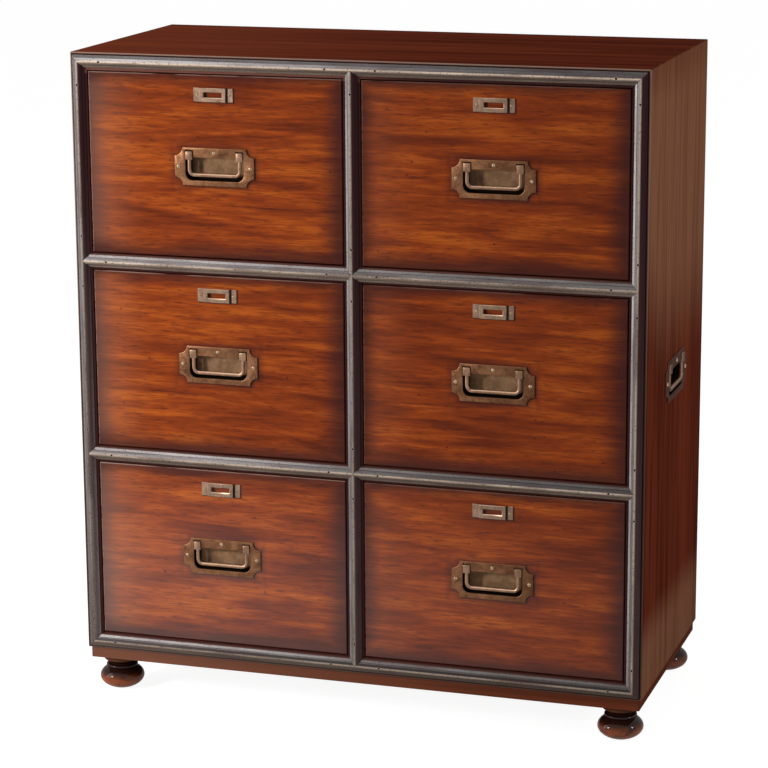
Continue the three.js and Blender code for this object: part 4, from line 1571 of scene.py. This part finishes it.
class CHEST_OT_stage(bpy.types.Operator):
    """Sets up the camera, the lamps, the world and the floor"""

    bl_idname = "chest.stage"
    bl_label = "Studio"

    def camera(self, stage):
        yaw, pitch, roll = stage.camera_yaw, stage.camera_pitch, stage.camera_roll
        level = Vector((-math.sin(yaw), math.cos(yaw), 0))
        forward = level * math.cos(pitch) - Vector((0, 0, math.sin(pitch)))
        right = Vector((math.cos(yaw), math.sin(yaw), 0))
        up = right.cross(forward)
        turned_right = right * math.cos(roll) + up * math.sin(roll)
        turned_up = up * math.cos(roll) - right * math.sin(roll)
        lens = bpy.data.cameras.new("camera")
        picture_width = 768
        lens.sensor_width = 36
        lens.lens = lens.sensor_width * stage.focal_pixels / picture_width
        lens.clip_start, lens.clip_end = 0.05, 200
        camera = bpy.data.objects.new("camera", lens)
        bpy.context.scene.collection.objects.link(camera)
        turn = Matrix((turned_right, turned_up, -forward)).transposed().to_4x4()
        camera.matrix_world = Matrix.Translation(stage.camera_place) @ turn
        bpy.context.scene.camera = camera

    def lamp(self, name, place, target, size, power):
        data = bpy.data.lights.new(name, "AREA")
        data.shape = "RECTANGLE"
        data.size, data.size_y = size
        data.energy = power
        lamp = bpy.data.objects.new(name, data)
        bpy.context.scene.collection.objects.link(lamp)
        away = Vector(place) - Vector(target)
        lamp.matrix_world = Matrix.Translation(place) @ away.to_track_quat("Z", "Y").to_matrix().to_4x4()
        lamp.visible_camera = False

    def world(self, stage):
        """White where it is seen, also in metal, and dimmer as a light."""
        sky = Finish("studio", "World")
        levels = {"Value": sky.seen(), "To Min": stage.world_strength, "To Max": 1}
        strength = sky.node("ShaderNodeMapRange", sockets=levels)
        sky.close(sky.node("ShaderNodeBackground", sockets={"Color": WHITE, "Strength": strength}))
        bpy.context.scene.world = sky.owner

    def floor(self, stage):
        """White where it is seen, with a faint shadow."""
        bm = bmesh.new()
        reach = 60
        bmesh.ops.create_grid(bm, x_segments=1, y_segments=1, size=reach)
        mesh = bpy.data.meshes.new("floor")
        bm.to_mesh(mesh)
        bm.free()
        floor = bpy.data.objects.new("floor", mesh)
        bpy.context.scene.collection.objects.link(floor)
        finish = Finish("studio_floor")
        base = Vector(stage.floor)
        shade = finish.mix(finish.noise(finish.place(), 9), base * 0.99, base * 1.01)
        matt = finish.node("ShaderNodeBsdfDiffuse", sockets={"Color": shade})
        glow = finish.node("ShaderNodeEmission", sockets={"Color": WHITE, "Strength": stage.floor_glow})
        share = finish.seen() * stage.glow_share
        finish.close(finish.node("ShaderNodeMixShader", sockets={0: share, 1: matt, 2: glow}))
        mesh.materials.append(finish.owner)

    def execute(self, context):
        stage = settings("stage")
        self.camera(stage)
        self.lamp("key", (-1.95, -2.05, 1.25), (-0.1, 0, 0.75), (0.34, 0.62), stage.key_power)
        self.lamp("side", (-1.65, -0.9, 0.85), (0, -0.1, 0.85), (0.7, 1.6), stage.side_power)
        self.lamp("fill", (3.4, -0.7, 1.6), (0, 0, 0.7), (0.42, 0.5), stage.fill_power)
        self.lamp("overhead", (-1.25, -0.2, 3.25), (-0.1, 0, 1), (2.0, 1.6), stage.top_power)
        self.world(stage)
        self.floor(stage)
        context.scene.view_settings.view_transform = "Standard"
        return {"FINISHED"}


# Add-on


OPERATORS = (
    CHEST_OT_case,
    CHEST_OT_plinth,
    CHEST_OT_feet,
    CHEST_OT_moulding,
    CHEST_OT_nails,
    CHEST_OT_drawer_fronts,
    CHEST_OT_drawer_boxes,
    CHEST_OT_plates,
    CHEST_OT_bails,
    CHEST_OT_labels,
    CHEST_OT_screws,
    CHEST_OT_stage,
)


class CHEST_PT_pieces(bpy.types.Panel):
    """Lists the pieces of the chest"""

    bl_idname = "CHEST_PT_pieces"
    bl_label = "Campaign Chest"
    bl_space_type = "VIEW_3D"
    bl_region_type = "UI"
    bl_category = "Chest"

    def draw(self, context):
        for operator in OPERATORS:
            self.layout.operator(operator.bl_idname)


CLASSES = (*GROUPS.values(), *OPERATORS, CHEST_PT_pieces)


def register():
    for cls in CLASSES:
        bpy.utils.register_class(cls)
    for name, group in GROUPS.items():
        setattr(bpy.types.Scene, name, PointerProperty(type=group))


def unregister():
    for name in GROUPS:
        delattr(bpy.types.Scene, name)
    for cls in reversed(CLASSES):
        bpy.utils.unregister_class(cls)


def main():
    register()
    for operator in OPERATORS:
        family, name = operator.bl_idname.split(".")
        getattr(getattr(bpy.ops, family), name)()


if __name__ == "__main__":
    main()
